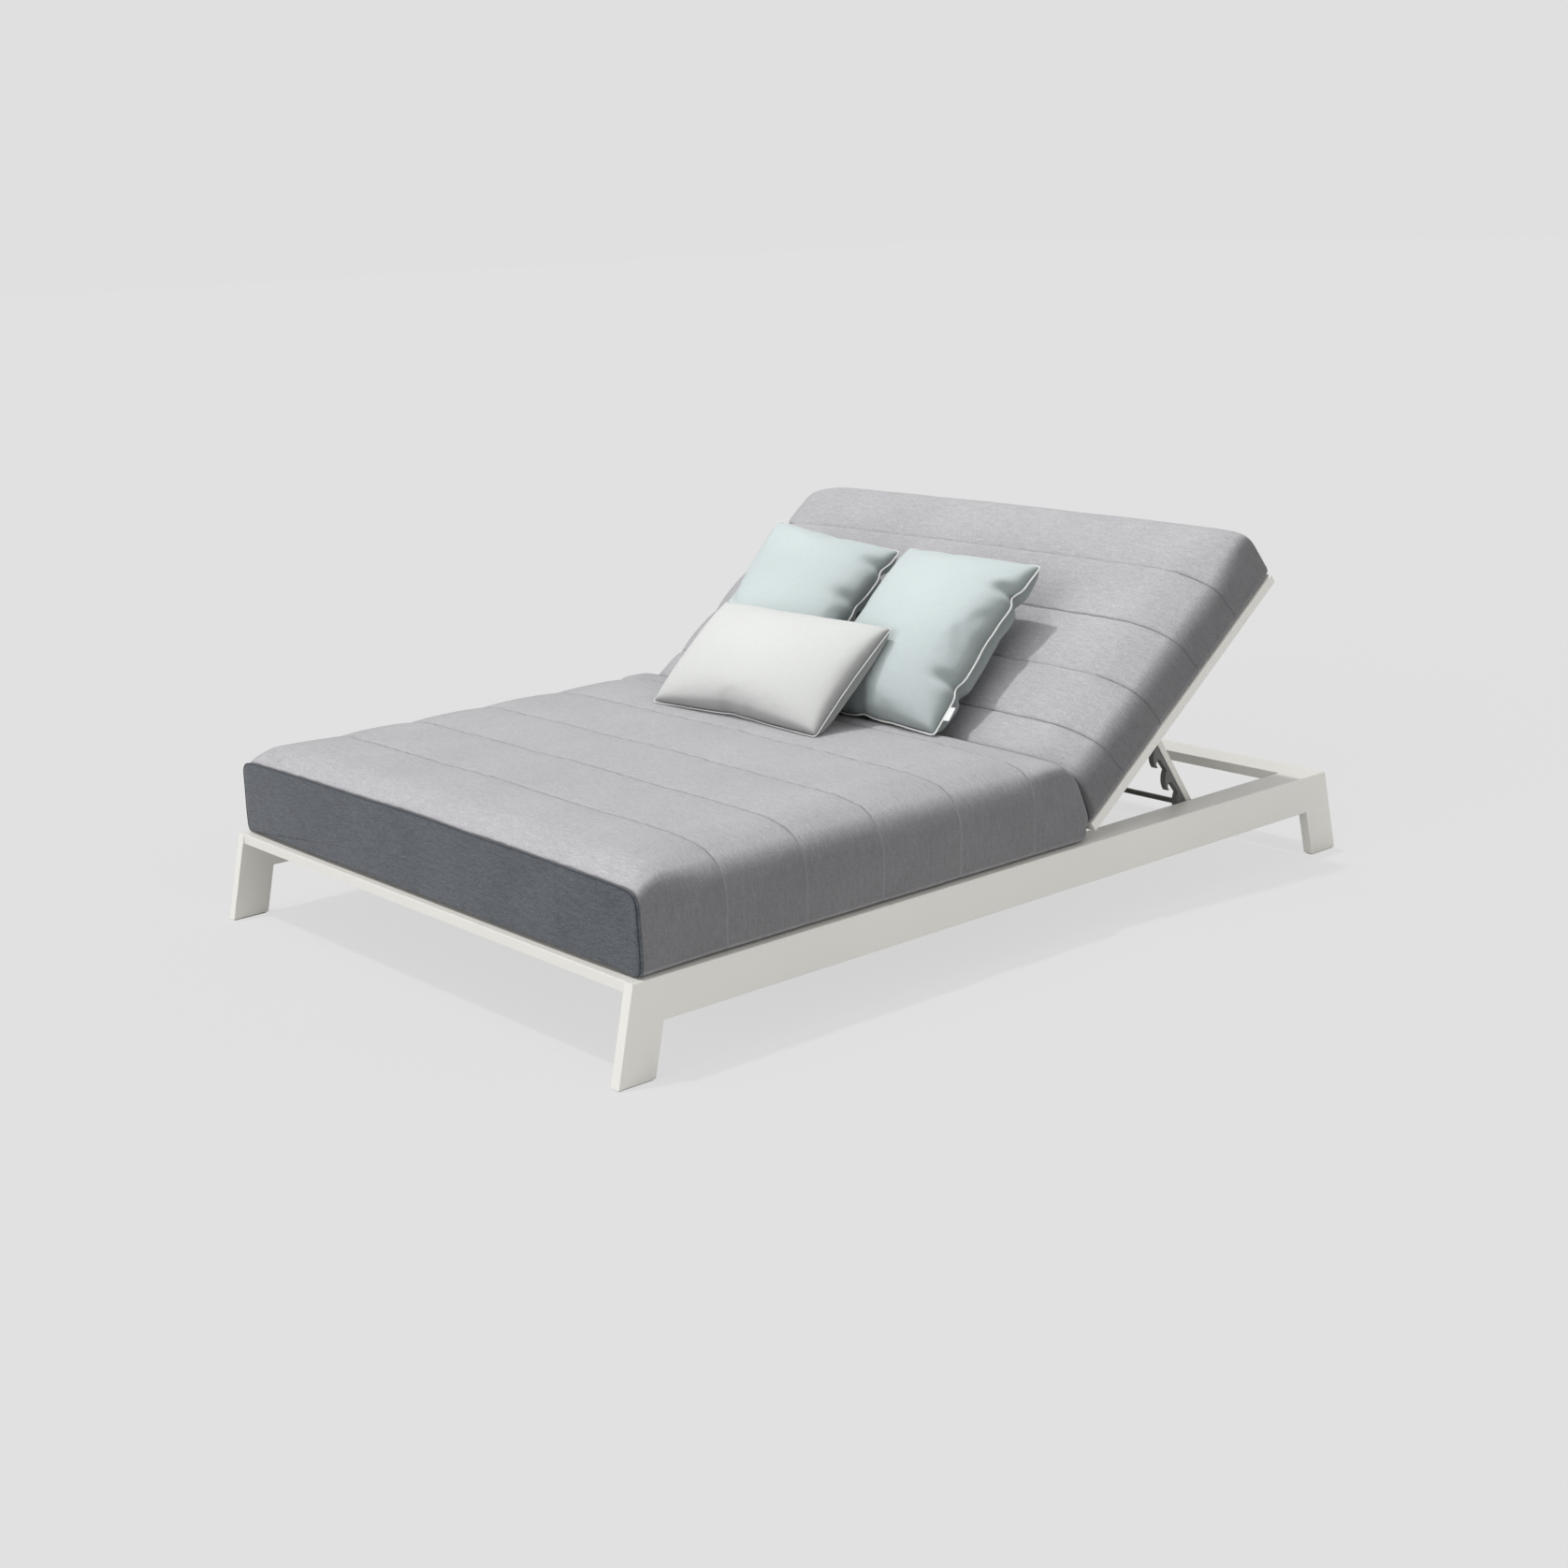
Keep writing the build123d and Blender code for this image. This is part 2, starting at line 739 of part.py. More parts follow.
def lens(half, front, back):
    """A lens with a thin piped rim at both ends, as a face with the front upward."""
    rim = piping / 2
    edges = [
        ThreePointArc((-half, rim), (0, front), (half, rim)),
        Line((half, rim), (half, -rim)),
        ThreePointArc((half, -rim), (0, -back), (-half, -rim)),
        Line((-half, -rim), (-half, rim)),
    ]
    return make_face(edges)


def pillow_outline(size):
    """A pillow's outline from the front: four corners and sides that draw in between them."""
    half, high = size[0] / 2, size[1]
    drawn = pillow_drawn_in
    edges = [
        ThreePointArc((-half, 0), (0, drawn), (half, 0)),
        ThreePointArc((half, 0), (half - drawn, high / 2), (half, high)),
        ThreePointArc((half, high), (0, high - drawn), (-half, high)),
        ThreePointArc((-half, high), (drawn - half, high / 2), (-half, 0)),
    ]
    return make_face(edges)


def pillow(size, front, back):
    """A plump pillow: a dome across its width and one up its height, within a drawn-in outline."""
    wide, high = size
    over_width = extrude(Plane.XY * lens(wide / 2, front, back), high)
    from_side = Plane((-wide / 2, 0, high / 2), x_dir=(0, 0, -1), z_dir=(1, 0, 0))
    over_height = extrude(from_side * lens(high / 2, front, back), wide)
    outline = extrude(Plane.XZ * pillow_outline(size), front + back, both=True)
    return over_width & over_height & outline


def placed(shape, size, place, turn):
    """Leans a pillow back at its place. The turn is its yaw, its lean and its roll in its own plane."""
    yaw, lean, roll = turn
    middle = Axis((0, 0, size[1] / 2), (0, 1, 0))
    up = (math.cos(math.radians(lean)), 0, math.sin(math.radians(lean)))
    leaned = Plane((0, 0, 0), x_dir=(0, 1, 0), z_dir=up) * shape.rotate(middle, roll)
    return Pos(*place) * leaned.rotate(Axis.Z, yaw)


def resting(shape):
    """A pillow flattened where it would press into the seat cushion."""
    floor = slat_top + seat_crest + rest_gap
    reach = square_height + lumbar_width
    return shape - block(-reach, reach, -reach, reach, slat_top, floor)


def square_pillow(place, turn):
    """One of the two big square pillows."""
    size = (square_width, square_height)
    plump = pillow(size, square_front_depth, square_back_depth)
    return resting(placed(plump, size, place, turn))


def lumbar_pillow():
    """The low wide pillow in front."""
    size = (lumbar_width, lumbar_height)
    plump = pillow(size, lumbar_front_depth, lumbar_back_depth)
    return resting(placed(plump, size, lumbar_place, lumbar_turn))


def pillow_tag():
    """A small bare tag in the side seam of the right square pillow."""
    low_share = tag_place_share - tag_width / 2 / square_height
    drawn = pillow_drawn_in * 4 * low_share * (1 - low_share)
    edge = square_width / 2 - drawn
    z = square_height * tag_place_share
    root = -edge - rest_gap
    half = tag_width / 2
    tag = block(root - tag_length, root, -tag_thick / 2, tag_thick / 2, z - half, z + half)
    return placed(tag, (square_width, square_height), square_right_place, square_right_turn)


def write(name, shapes):
    """Writes one node, which holds one solid or a group of them."""
    solids = shapes if isinstance(shapes, list) else [shapes]
    pieces = []
    for solid in solids:
        pieces.extend(solid.solids())
    whole = pieces[0] if len(pieces) == 1 else Compound(children=pieces)
    export_step(whole, os.path.join("parts", name + ".step"))


def main():
    os.makedirs("parts", exist_ok=True)
    for name, side in (("left", 1), ("right", -1)):
        write(name + "_side_rail", side_rail(side))
        write("front_" + name + "_leg", leg(-1, side))
        write("rear_" + name + "_leg", leg(1, side))
        write(name + "_ledge", ledge(side))
        write("backrest_" + name + "_stile", stile(side))
        write(name + "_stay_clevis", stay_clevis(side))
        write(name + "_stay_spine", stay_spine(side))
        write(name + "_stay_rack", stay_rack(side))
    hinge_places = (-hinge_side_y, 0, hinge_side_y)
    write("foot_glides", foot_glides())
    write("front_rail", end_rail(-1, front_rail_depth))
    write("rear_rail", end_rail(1, rear_rail_depth))
    write("centre_bearer", centre_bearer())
    write("front_cross_beam", cross_beam(front_beam_x))
    write("hinge_beam", cross_beam(hinge_beam_x))
    write("seat_slats", seat_slats())
    write("hinge_brackets", [hinge_bracket(y) for y in hinge_places])
    write("hinge_pins", [hinge_pin(y) for y in hinge_places])
    write("catch_pins", catch_pins())
    write("seat_cushion", seat_cushion())
    write("seat_front_panel", seat_front_panel())
    write("hinge_lugs", [hinge_lug(y) for y in hinge_places])
    write("hinge_bushes", [hinge_bush(y) for y in hinge_places])
    write("backrest_bottom_rail", rail_across(0))
    write("backrest_top_rail", rail_across(back_length - back_tube_width))
    write("backrest_cross_rail", cross_rail())
    write("backrest_mid_stile", mid_stile())
    write("backrest_slats", back_slats())
    write("backrest_bumpers", bumpers())
    write("stay_pins", [stay_pin(1), stay_pin(-1)])
    write("back_cushion", back_cushion())
    write("stay_bushes", [stay_bush(1), stay_bush(-1)])
    write("stay_tie_bar", tie_bar())
    write("right_pillow", square_pillow(square_right_place, square_right_turn))
    write("left_pillow", square_pillow(square_left_place, square_left_turn))
    write("lumbar_pillow", lumbar_pillow())
    write("pillow_tag", pillow_tag())


if __name__ == "__main__":
    main()
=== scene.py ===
import json
import logging
import math
from dataclasses import dataclass, field
from enum import Enum
from typing import Iterable, Sequence, Union

import bmesh
import bpy
import numpy as np
from mathutils import Matrix, Vector, noise


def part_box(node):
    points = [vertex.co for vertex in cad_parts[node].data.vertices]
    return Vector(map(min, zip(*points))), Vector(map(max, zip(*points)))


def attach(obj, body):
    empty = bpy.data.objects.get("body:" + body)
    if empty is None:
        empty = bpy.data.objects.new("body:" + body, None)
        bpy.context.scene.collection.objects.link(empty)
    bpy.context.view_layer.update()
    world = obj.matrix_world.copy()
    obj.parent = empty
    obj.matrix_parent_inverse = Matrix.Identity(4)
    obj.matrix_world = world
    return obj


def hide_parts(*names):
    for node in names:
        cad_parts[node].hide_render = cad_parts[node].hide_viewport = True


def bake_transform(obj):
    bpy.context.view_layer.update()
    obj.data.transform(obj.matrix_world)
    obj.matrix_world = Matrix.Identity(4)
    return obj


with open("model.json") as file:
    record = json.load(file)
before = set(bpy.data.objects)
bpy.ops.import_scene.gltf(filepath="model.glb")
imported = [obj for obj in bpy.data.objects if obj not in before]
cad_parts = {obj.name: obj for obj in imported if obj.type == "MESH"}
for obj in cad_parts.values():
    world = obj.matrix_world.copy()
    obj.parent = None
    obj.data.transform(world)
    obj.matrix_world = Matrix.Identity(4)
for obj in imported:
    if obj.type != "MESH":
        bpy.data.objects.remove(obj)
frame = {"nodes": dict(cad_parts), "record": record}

log = logging.getLogger("lounger")

Rgb = tuple[float, float, float]
HalfSection = tuple[tuple[float, float], ...]
Points = np.ndarray

# The raised backrest, and where the two cushions lie, in metres
RAISED = math.radians(37.2)
SEAT_BASE = 0.2
BACK_ORIGIN = (0.213, 0.229)


def linear(colour: Rgb) -> tuple[float, float, float, float]:
    """A colour in 0 to 255 as Blender's linear light.

    Args:
        colour: Red, green and blue as a picture holds them.

    Returns:
        The colour with an alpha of 1.
    """
    parts = []
    for value in colour:
        share = value / 255
        parts.append(share / 12.92 if share <= 0.04045 else ((share + 0.055) / 1.055) ** 2.4)
    return (parts[0], parts[1], parts[2], 1.0)


class Signal:
    """What one socket of a shader gives, with Python's arithmetic on it."""

    def __init__(self, graph: "Graph", socket: bpy.types.NodeSocket) -> None:
        """Wraps a socket of a graph."""
        self.graph = graph
        self.socket = socket

    def math(self, operation: str, *others: "Number") -> "Signal":
        """A Math node on this signal and others.

        Args:
            operation: The node's operation.
            others: The values after the first.

        Returns:
            The node's result.
        """
        values = {0: self, **{place + 1: other for place, other in enumerate(others)}}
        return self.graph.node("ShaderNodeMath", {"operation": operation}, values)

    def __add__(self, other: "Number") -> "Signal":
        """The sum."""
        return self.math("ADD", other)

    def __mul__(self, other: "Number") -> "Signal":
        """The product."""
        return self.math("MULTIPLY", other)

    def __sub__(self, other: "Number") -> "Signal":
        """The difference."""
        return self.math("SUBTRACT", other)

    def sine(self) -> "Signal":
        """The sine of an angle in radians."""
        return self.math("SINE")


Number = Union[Signal, float]


class Graph:
    """The shader of one material or of the surround, with the nodes that it asks for."""

    def __init__(self, holder: Union[bpy.types.Material, bpy.types.World]) -> None:
        """Starts an empty shader in what holds it."""
        self.holder = holder
        holder.use_nodes = True
        self.tree = holder.node_tree
        self.tree.nodes.clear()

    def node(self, kind: str, settings: dict, values: dict, output: Union[int, str] = 0) -> Signal:
        """Adds a node, with its settings first and its sockets after them.

        Args:
            kind: The node's type.
            settings: Names and values of its settings.
            values: Numbers, colours or signals by the name or place of a socket.
            output: The socket that is wanted from it.

        Returns:
            That socket.
        """
        made = self.tree.nodes.new(kind)
        for name, value in settings.items():
            setattr(made, name, value)
        for name, value in values.items():
            if isinstance(value, Signal):
                self.tree.links.new(value.socket, made.inputs[name])
            else:
                made.inputs[name].default_value = value
        return Signal(self, made.outputs[output])

    def attribute(self, name: str, output: str) -> Signal:
        """What a mesh keeps under a name."""
        return self.node("ShaderNodeAttribute", {"attribute_name": name}, {}, output)

    def place(self) -> Signal:
        """The place on a frame piece, in its own metres."""
        return self.node("ShaderNodeTexCoord", {}, {}, "Object")

    def scaled(self, vector: Signal, scale: Sequence[float]) -> Signal:
        """A vector with each of its parts scaled."""
        values = {0: vector, 1: tuple(scale)}
        return self.node("ShaderNodeVectorMath", {"operation": "MULTIPLY"}, values)

    def noise(self, vector: Signal, scale: float, detail: float = 2.0, rough: float = 0.5) -> Signal:
        """Smooth noise from 0 to 1.

        Args:
            vector: Where on the piece.
            scale: How many waves there are in a metre.
            detail: How many finer layers it has.
            rough: How strong the finer layers are.

        Returns:
            The noise.
        """
        values = {"Vector": vector, "Scale": scale, "Detail": detail, "Roughness": rough}
        return self.node("ShaderNodeTexNoise", {}, values)

    def mix(self, share: Number, first: Union[Signal, Sequence[float]],
            second: Union[Signal, Sequence[float]], way: str = "MIX") -> Signal:
        """A colour between two others.

        Args:
            share: How much of the second.
            first: The first colour.
            second: The second colour.
            way: How they mix.

        Returns:
            The mixed colour.
        """
        settings = {"data_type": "RGBA", "blend_type": way, "clamp_factor": True}
        return self.node("ShaderNodeMix", settings, {0: share, 6: first, 7: second}, 2)

    def bump(self, height: Signal, depth: float, strength: float = 1.0) -> Signal:
        """A surface's normal from a height of 0 to 1 and its depth in metres."""
        values = {"Height": height, "Distance": depth, "Strength": strength}
        return self.node("ShaderNodeBump", {}, values)

    def finish(self, sockets: dict) -> bpy.types.Material:
        """Ends the material in one plain surface shader.

        Args:
            sockets: What the surface shader's sockets hold.

        Returns:
            The material.
        """
        return self.surface(self.node("ShaderNodeBsdfPrincipled", {}, sockets))

    def surface(self, shader: Signal, kind: str = "Material") -> Union[bpy.types.Material, bpy.types.World]:
        """Ends the shader in its output, and gives what holds it."""
        output = self.tree.nodes.new("ShaderNodeOutput" + kind)
        self.tree.links.new(shader.socket, output.inputs["Surface"])
        return self.holder


# Finishes


@dataclass(frozen=True)
class Cloth:
    """A woven outdoor cloth of two close yarns, with faint streaks along its threads, and painted shade where
    its mesh marks sides.
    """

    name: str
    light_yarn: Rgb
    dark_yarn: Rgb
    streak: float = 0.5
    thread_pitch: float = 0.0016
    weave_depth: float = 0.0004
    slub_depth: float = 0.0006
    roughness: float = 0.9
    sheen: float = 0.25
    # shade: how far the marked sides are painted into shade; shaded_share: how dark that painted shade gets.
    shade: float = 0.0
    shaded_share: float = 0.3
    seam_line_and_shade_share: float = 0.5
    thread_share: float = 0.86
    noise_weights: tuple[float, float, float, float] = (1.6, 0.8, 2.0, 0.5)

    def make(self) -> bpy.types.Material:
        """Builds the cloth's material."""
        graph = Graph(bpy.data.materials.new(self.name))
        lie = graph.attribute("cloth", "Vector")
        seam = graph.attribute("seam", "Fac")
        fine = graph.noise(graph.scaled(lie, (1.0, 0.14, 1.0)), 420.0, 3.0, 0.65)
        coarse = graph.noise(graph.scaled(lie, (1.0, 0.16, 1.0)), 120.0, 3.0, 0.6)
        grain = graph.noise(lie, 260.0, 3.0, 0.7)
        cloud = graph.noise(lie, 5.0, 2.0)
        by_fine, by_coarse, by_grain, by_cloud = self.noise_weights
        blend = (fine - 0.5) * by_fine + (coarse - 0.5) * by_coarse + (grain - 0.5) * by_grain
        blend = blend + (cloud - 0.5) * by_cloud
        yarns = graph.mix(blend * self.streak + 0.5, linear(self.dark_yarn), linear(self.light_yarn))
        # Painted shade: where the mesh marks a side, the yarns are multiplied darker, as if turned from the
        # light.
        lean = graph.attribute("side", "Fac")
        painted_shade_factor = (1 - self.shade) * self.shaded_share
        painted_shade_colour = graph.mix(1.0, yarns, (painted_shade_factor, painted_shade_factor, painted_shade_factor * 0.97, 1.0), "MULTIPLY")
        turned = graph.mix(lean * self.shade, yarns, painted_shade_colour)
        # Seam colours: a dark seam line with painted shade in its groove and in the crease between the
        # cushions, and a paler thread on the sides.
        seam_line_and_shade = linear(tuple(value * self.seam_line_and_shade_share for value in self.dark_yarn))
        thread = linear(tuple(value * self.thread_share for value in self.dark_yarn))
        sewn = graph.mix(graph.attribute("pale", "Fac"), seam_line_and_shade, thread)
        stitched = graph.mix(seam * (cloud * 0.9 + 0.15), turned, sewn)
        parts = graph.node("ShaderNodeSeparateXYZ", {}, {0: lie})
        across = graph.node("ShaderNodeSeparateXYZ", {}, {0: lie}, 1)
        turn = 2 * math.pi / self.thread_pitch
        weave = (parts * turn).sine() * (across * turn).sine() * 0.5 + 0.5
        woven = graph.bump(weave, self.weave_depth, 0.5)
        slubs = {"Height": coarse, "Distance": self.slub_depth, "Strength": 0.8, "Normal": woven}
        slubbed = graph.node("ShaderNodeBump", {}, slubs)
        return graph.finish({
            "Base Color": stitched,
            "Roughness": self.roughness,
            "Specular IOR Level": 0.15,
            "Sheen Weight": self.sheen,
            "Sheen Roughness": 0.45,
            "Normal": slubbed,
        })


@dataclass(frozen=True)
class PowderCoat:
    """A powder-coated metal with a faint orange peel and a little unevenness in its gloss."""

    name: str
    colour: Rgb
    roughness: float = 0.42
    peel_depth: float = 0.00012

    def make(self) -> bpy.types.Material:
        """Builds the coat's material."""
        graph = Graph(bpy.data.materials.new(self.name))
        place = graph.place()
        cloud = graph.noise(place, 4.0, 3.0)
        speck = graph.noise(place, 900.0, 2.0)
        peel = graph.noise(place, 520.0, 2.0)
        deeper = tuple(value * 0.965 for value in self.colour)
        colour = graph.mix(cloud * 0.7 + speck * 0.3, linear(self.colour), linear(deeper))
        return graph.finish({
            "Base Color": colour,
            "Roughness": (cloud - 0.5) * 0.14 + self.roughness,
            "Normal": graph.bump(peel, self.peel_depth, 0.35),
        })


@dataclass(frozen=True)
class Moulding:
    """A moulded plastic or rubber with a fine grain."""

    name: str
    colour: Rgb
    roughness: float
    grain_depth: float = 0.0002

    def make(self) -> bpy.types.Material:
        """Builds the moulding's material."""
        graph = Graph(bpy.data.materials.new(self.name))
        place = graph.place()
        grain = graph.noise(place, 1400.0, 3.0, 0.6)
        cloud = graph.noise(place, 30.0, 2.0)
        paler = tuple(min(255.0, value * 1.18 + 4) for value in self.colour)
        return graph.finish({
            "Base Color": graph.mix(cloud * 0.6 + grain * 0.4, linear(self.colour), linear(paler)),
            "Roughness": (grain - 0.5) * 0.2 + self.roughness,
            "Normal": graph.bump(grain, self.grain_depth, 0.5),
        })


@dataclass(frozen=True)
class BrushedSteel:
    """Turned and brushed stainless steel."""

    name: str
    colour: Rgb = (176, 176, 174)

    def make(self) -> bpy.types.Material:
        """Builds the steel's material."""
        graph = Graph(bpy.data.materials.new(self.name))
        brushing = graph.noise(graph.scaled(graph.place(), (1.0, 0.05, 1.0)), 1500.0, 3.0)
        return graph.finish({
            "Base Color": graph.mix(brushing, linear(self.colour), linear((205, 205, 202))),
            "Metallic": 1.0,
            "Roughness": brushing * 0.2 + 0.24,
            "Normal": graph.bump(brushing, 0.00005, 0.4),
        })


class Finish(Enum):
    """The lounger's finishes, by the record's material slot."""

    FRAME = PowderCoat("frame_paint", (228, 226, 220))
    SLAT = PowderCoat("slat_paint", (214, 213, 208), 0.5)
    RACK = Moulding("rack_polymer", (92, 92, 90), 0.5)
    # The tie bar's dark grey is partly painted shade, for the shade it sits in under the backrest.
    TIE = PowderCoat("dark_paint", (92, 92, 84), 0.5)
    STEEL = BrushedSteel("pin_steel")
    BUSH = Moulding("bush_plastic", (44, 44, 46), 0.45)
    GLIDE = Moulding("glide_plastic", (96, 96, 96), 0.55)
    BUMPER = Moulding("bumper_rubber", (34, 34, 34), 0.8)
    # COVER, MINT and WHITE use their shade value to paint shade on the sides that their meshes mark.
    COVER = Cloth("cover_fabric", (198, 197, 200), (164, 163, 167), 1.0, shade=0.67)
    PANEL = Cloth("panel_fabric", (100, 104, 111), (64, 68, 73), 1.1)
    MINT = Cloth("mint_fabric", (214, 222, 222), (194, 207, 207), 0.5, weave_depth=0.0003, shade=0.6)
    WHITE = Cloth("white_fabric", (228, 229, 227), (212, 214, 212), 0.45, weave_depth=0.0003, shade=0.6)
    TAG = Cloth("tag_fabric", (240, 240, 240), (228, 228, 228), 0.3, 0.0008, 0.0001, 0.0001)


# Meshes


def raised(points: Points) -> Points:
    """Points drawn along the flat backrest and square to it, taken to where it stands raised.

    Args:
        points: Places along the slope, across and square to the slope.

    Returns:
        The same points in the lounger's frame.
    """
    along, over, square = points[:, 0], points[:, 1], points[:, 2]
    x = BACK_ORIGIN[0] + along * math.cos(RAISED) - square * math.sin(RAISED)
    z = BACK_ORIGIN[1] + along * math.sin(RAISED) + square * math.cos(RAISED)
    return np.column_stack([x, over, z])


def make_mesh(name: str, points: Points, faces: Iterable[Sequence[int]]) -> bpy.types.Object:
    """A smooth object with its normals outward.

    Args:
        name: The piece's name.
        points: Its vertices.
        faces: Their indices by face.

    Returns:
        The object, in the scene.
    """
    mesh = bpy.data.meshes.new(name)
    mesh.from_pydata([tuple(point) for point in points], [], [tuple(face) for face in faces])
    mesh.validate()
    form = bmesh.new()
    form.from_mesh(mesh)
    bmesh.ops.recalc_face_normals(form, faces=form.faces)
    form.to_mesh(mesh)
    form.free()
    mesh.shade_smooth()
    piece = bpy.data.objects.new(name, mesh)
    bpy.context.scene.collection.objects.link(piece)
    return piece


def keep(piece: bpy.types.Object, name: str, values: Points) -> None:
    """Stores a value at each vertex: a number, or a place of three numbers."""
    kind = "FLOAT" if values.ndim == 1 else "FLOAT_VECTOR"
    layer = piece.data.attributes.new(name, kind, "POINT")
    layer.data.foreach_set("value" if kind == "FLOAT" else "vector", values.astype(np.float32).ravel())


def through(controls: Sequence[Sequence[float]], count: int) -> Points:
    """Evenly spaced points on a smooth curve through control points.

    Args:
        controls: The points that the curve passes through.
        count: How many points are wanted.

    Returns:
        The points, from the first control to the last.
    """
    held = np.array(controls, dtype=float)
    padded = np.vstack([2 * held[0] - held[1], held, 2 * held[-1] - held[-2]])
    dense = []
    for place in range(len(held) - 1):
        a, b, c, d = padded[place:place + 4]
        for share in np.linspace(0, 1, 24, endpoint=False):
            square, cube = share * share, share ** 3
            dense.append(0.5 * (2 * b + (c - a) * share + (2 * a - 5 * b + 4 * c - d) * square
                                + (3 * b - a - 3 * c + d) * cube))
    dense.append(held[-1])
    dense = np.array(dense)
    length = np.concatenate([[0], np.cumsum(np.linalg.norm(np.diff(dense, axis=0), axis=1))])
    wanted = np.linspace(0, length[-1], count)
    return np.column_stack([np.interp(wanted, length, dense[:, axis]) for axis in range(dense.shape[1])])


def rim_places(columns: int, rows: int) -> list[tuple[int, int]]:
    """The row and column of each point on a grid's rim.

    Args:
        columns: How many cells the grid has across.
        rows: How many it has upwards.

    Returns:
        The places, in order round the rim.
    """
    around = [(0, column) for column in range(columns)]
    around += [(row, columns) for row in range(rows)]
    around += [(rows, column) for column in range(columns, 0, -1)]
    return around + [(row, 0) for row in range(rows, 0, -1)]


def between(low: int, high: int, count: int) -> list[list[int]]:
    """The faces between two rings of as many points.

    Args:
        low: The first point of one ring.
        high: The first point of the other.
        count: How many points a ring has.

    Returns:
        The faces.
    """
    return [[low + index, low + (index + 1) % count, high + (index + 1) % count, high + index]
            for index in range(count)]


def fan(low: int, tip: int, count: int) -> list[list[int]]:
    """The faces between a ring and one point."""
    return [[low + index, low + (index + 1) % count, tip] for index in range(count)]


def tube(path: Points, radius: float, sides: int, closed: bool) -> tuple[Points, list[list[int]]]:
    """A round tube along a path.

    Args:
        path: The points that its middle follows.
        radius: Half its thickness.
        sides: How many sides its section has.
        closed: Whether its end joins its start.

    Returns:
        Its vertices and faces.
    """
    ahead = np.roll(path, -1, axis=0) - np.roll(path, 1, axis=0)
    if not closed:
        ahead[0], ahead[-1] = path[1] - path[0], path[-1] - path[-2]
    ahead /= np.linalg.norm(ahead, axis=1)[:, None]
    normal = Vector(ahead[0]).orthogonal().normalized()
    points = []
    for middle, way in zip(path, ahead):
        way = Vector(way)
        normal = (normal - way * normal.dot(way)).normalized()
        side = way.cross(normal)
        for index in range(sides):
            turn = 2 * math.pi * index / sides
            points.append(Vector(middle) + (normal * math.cos(turn) + side * math.sin(turn)) * radius)
    faces = []
    count = len(path)
    for ring in range(count if closed else count - 1):
        faces += between(ring * sides, (ring + 1) % count * sides, sides)
    if not closed:
        faces.append(list(range(sides)))
        faces.append([(count - 1) * sides + index for index in range(sides)])
    return np.array([tuple(point) for point in points]), faces


def dress(piece: bpy.types.Object, finish: Finish, body: str, nodes: Sequence[str] = (),
          rides: bool = True) -> bpy.types.Object:
    """Gives a new piece its finish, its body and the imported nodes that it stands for.

    Args:
        piece: The new piece.
        finish: Its finish.
        body: The body that it moves with.
        nodes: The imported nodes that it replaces.
        rides: Whether it moves with one body.

    Returns:
        The piece.
    """
    piece.data.materials.append(MADE[finish])
    if rides:
        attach(piece, body)
    if nodes:
        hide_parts(*nodes)
    log.info("%s: %d vertices on %s", piece.name, len(piece.data.vertices), body)
    return piece


MADE: dict[Finish, bpy.types.Material] = {}


# Cushions


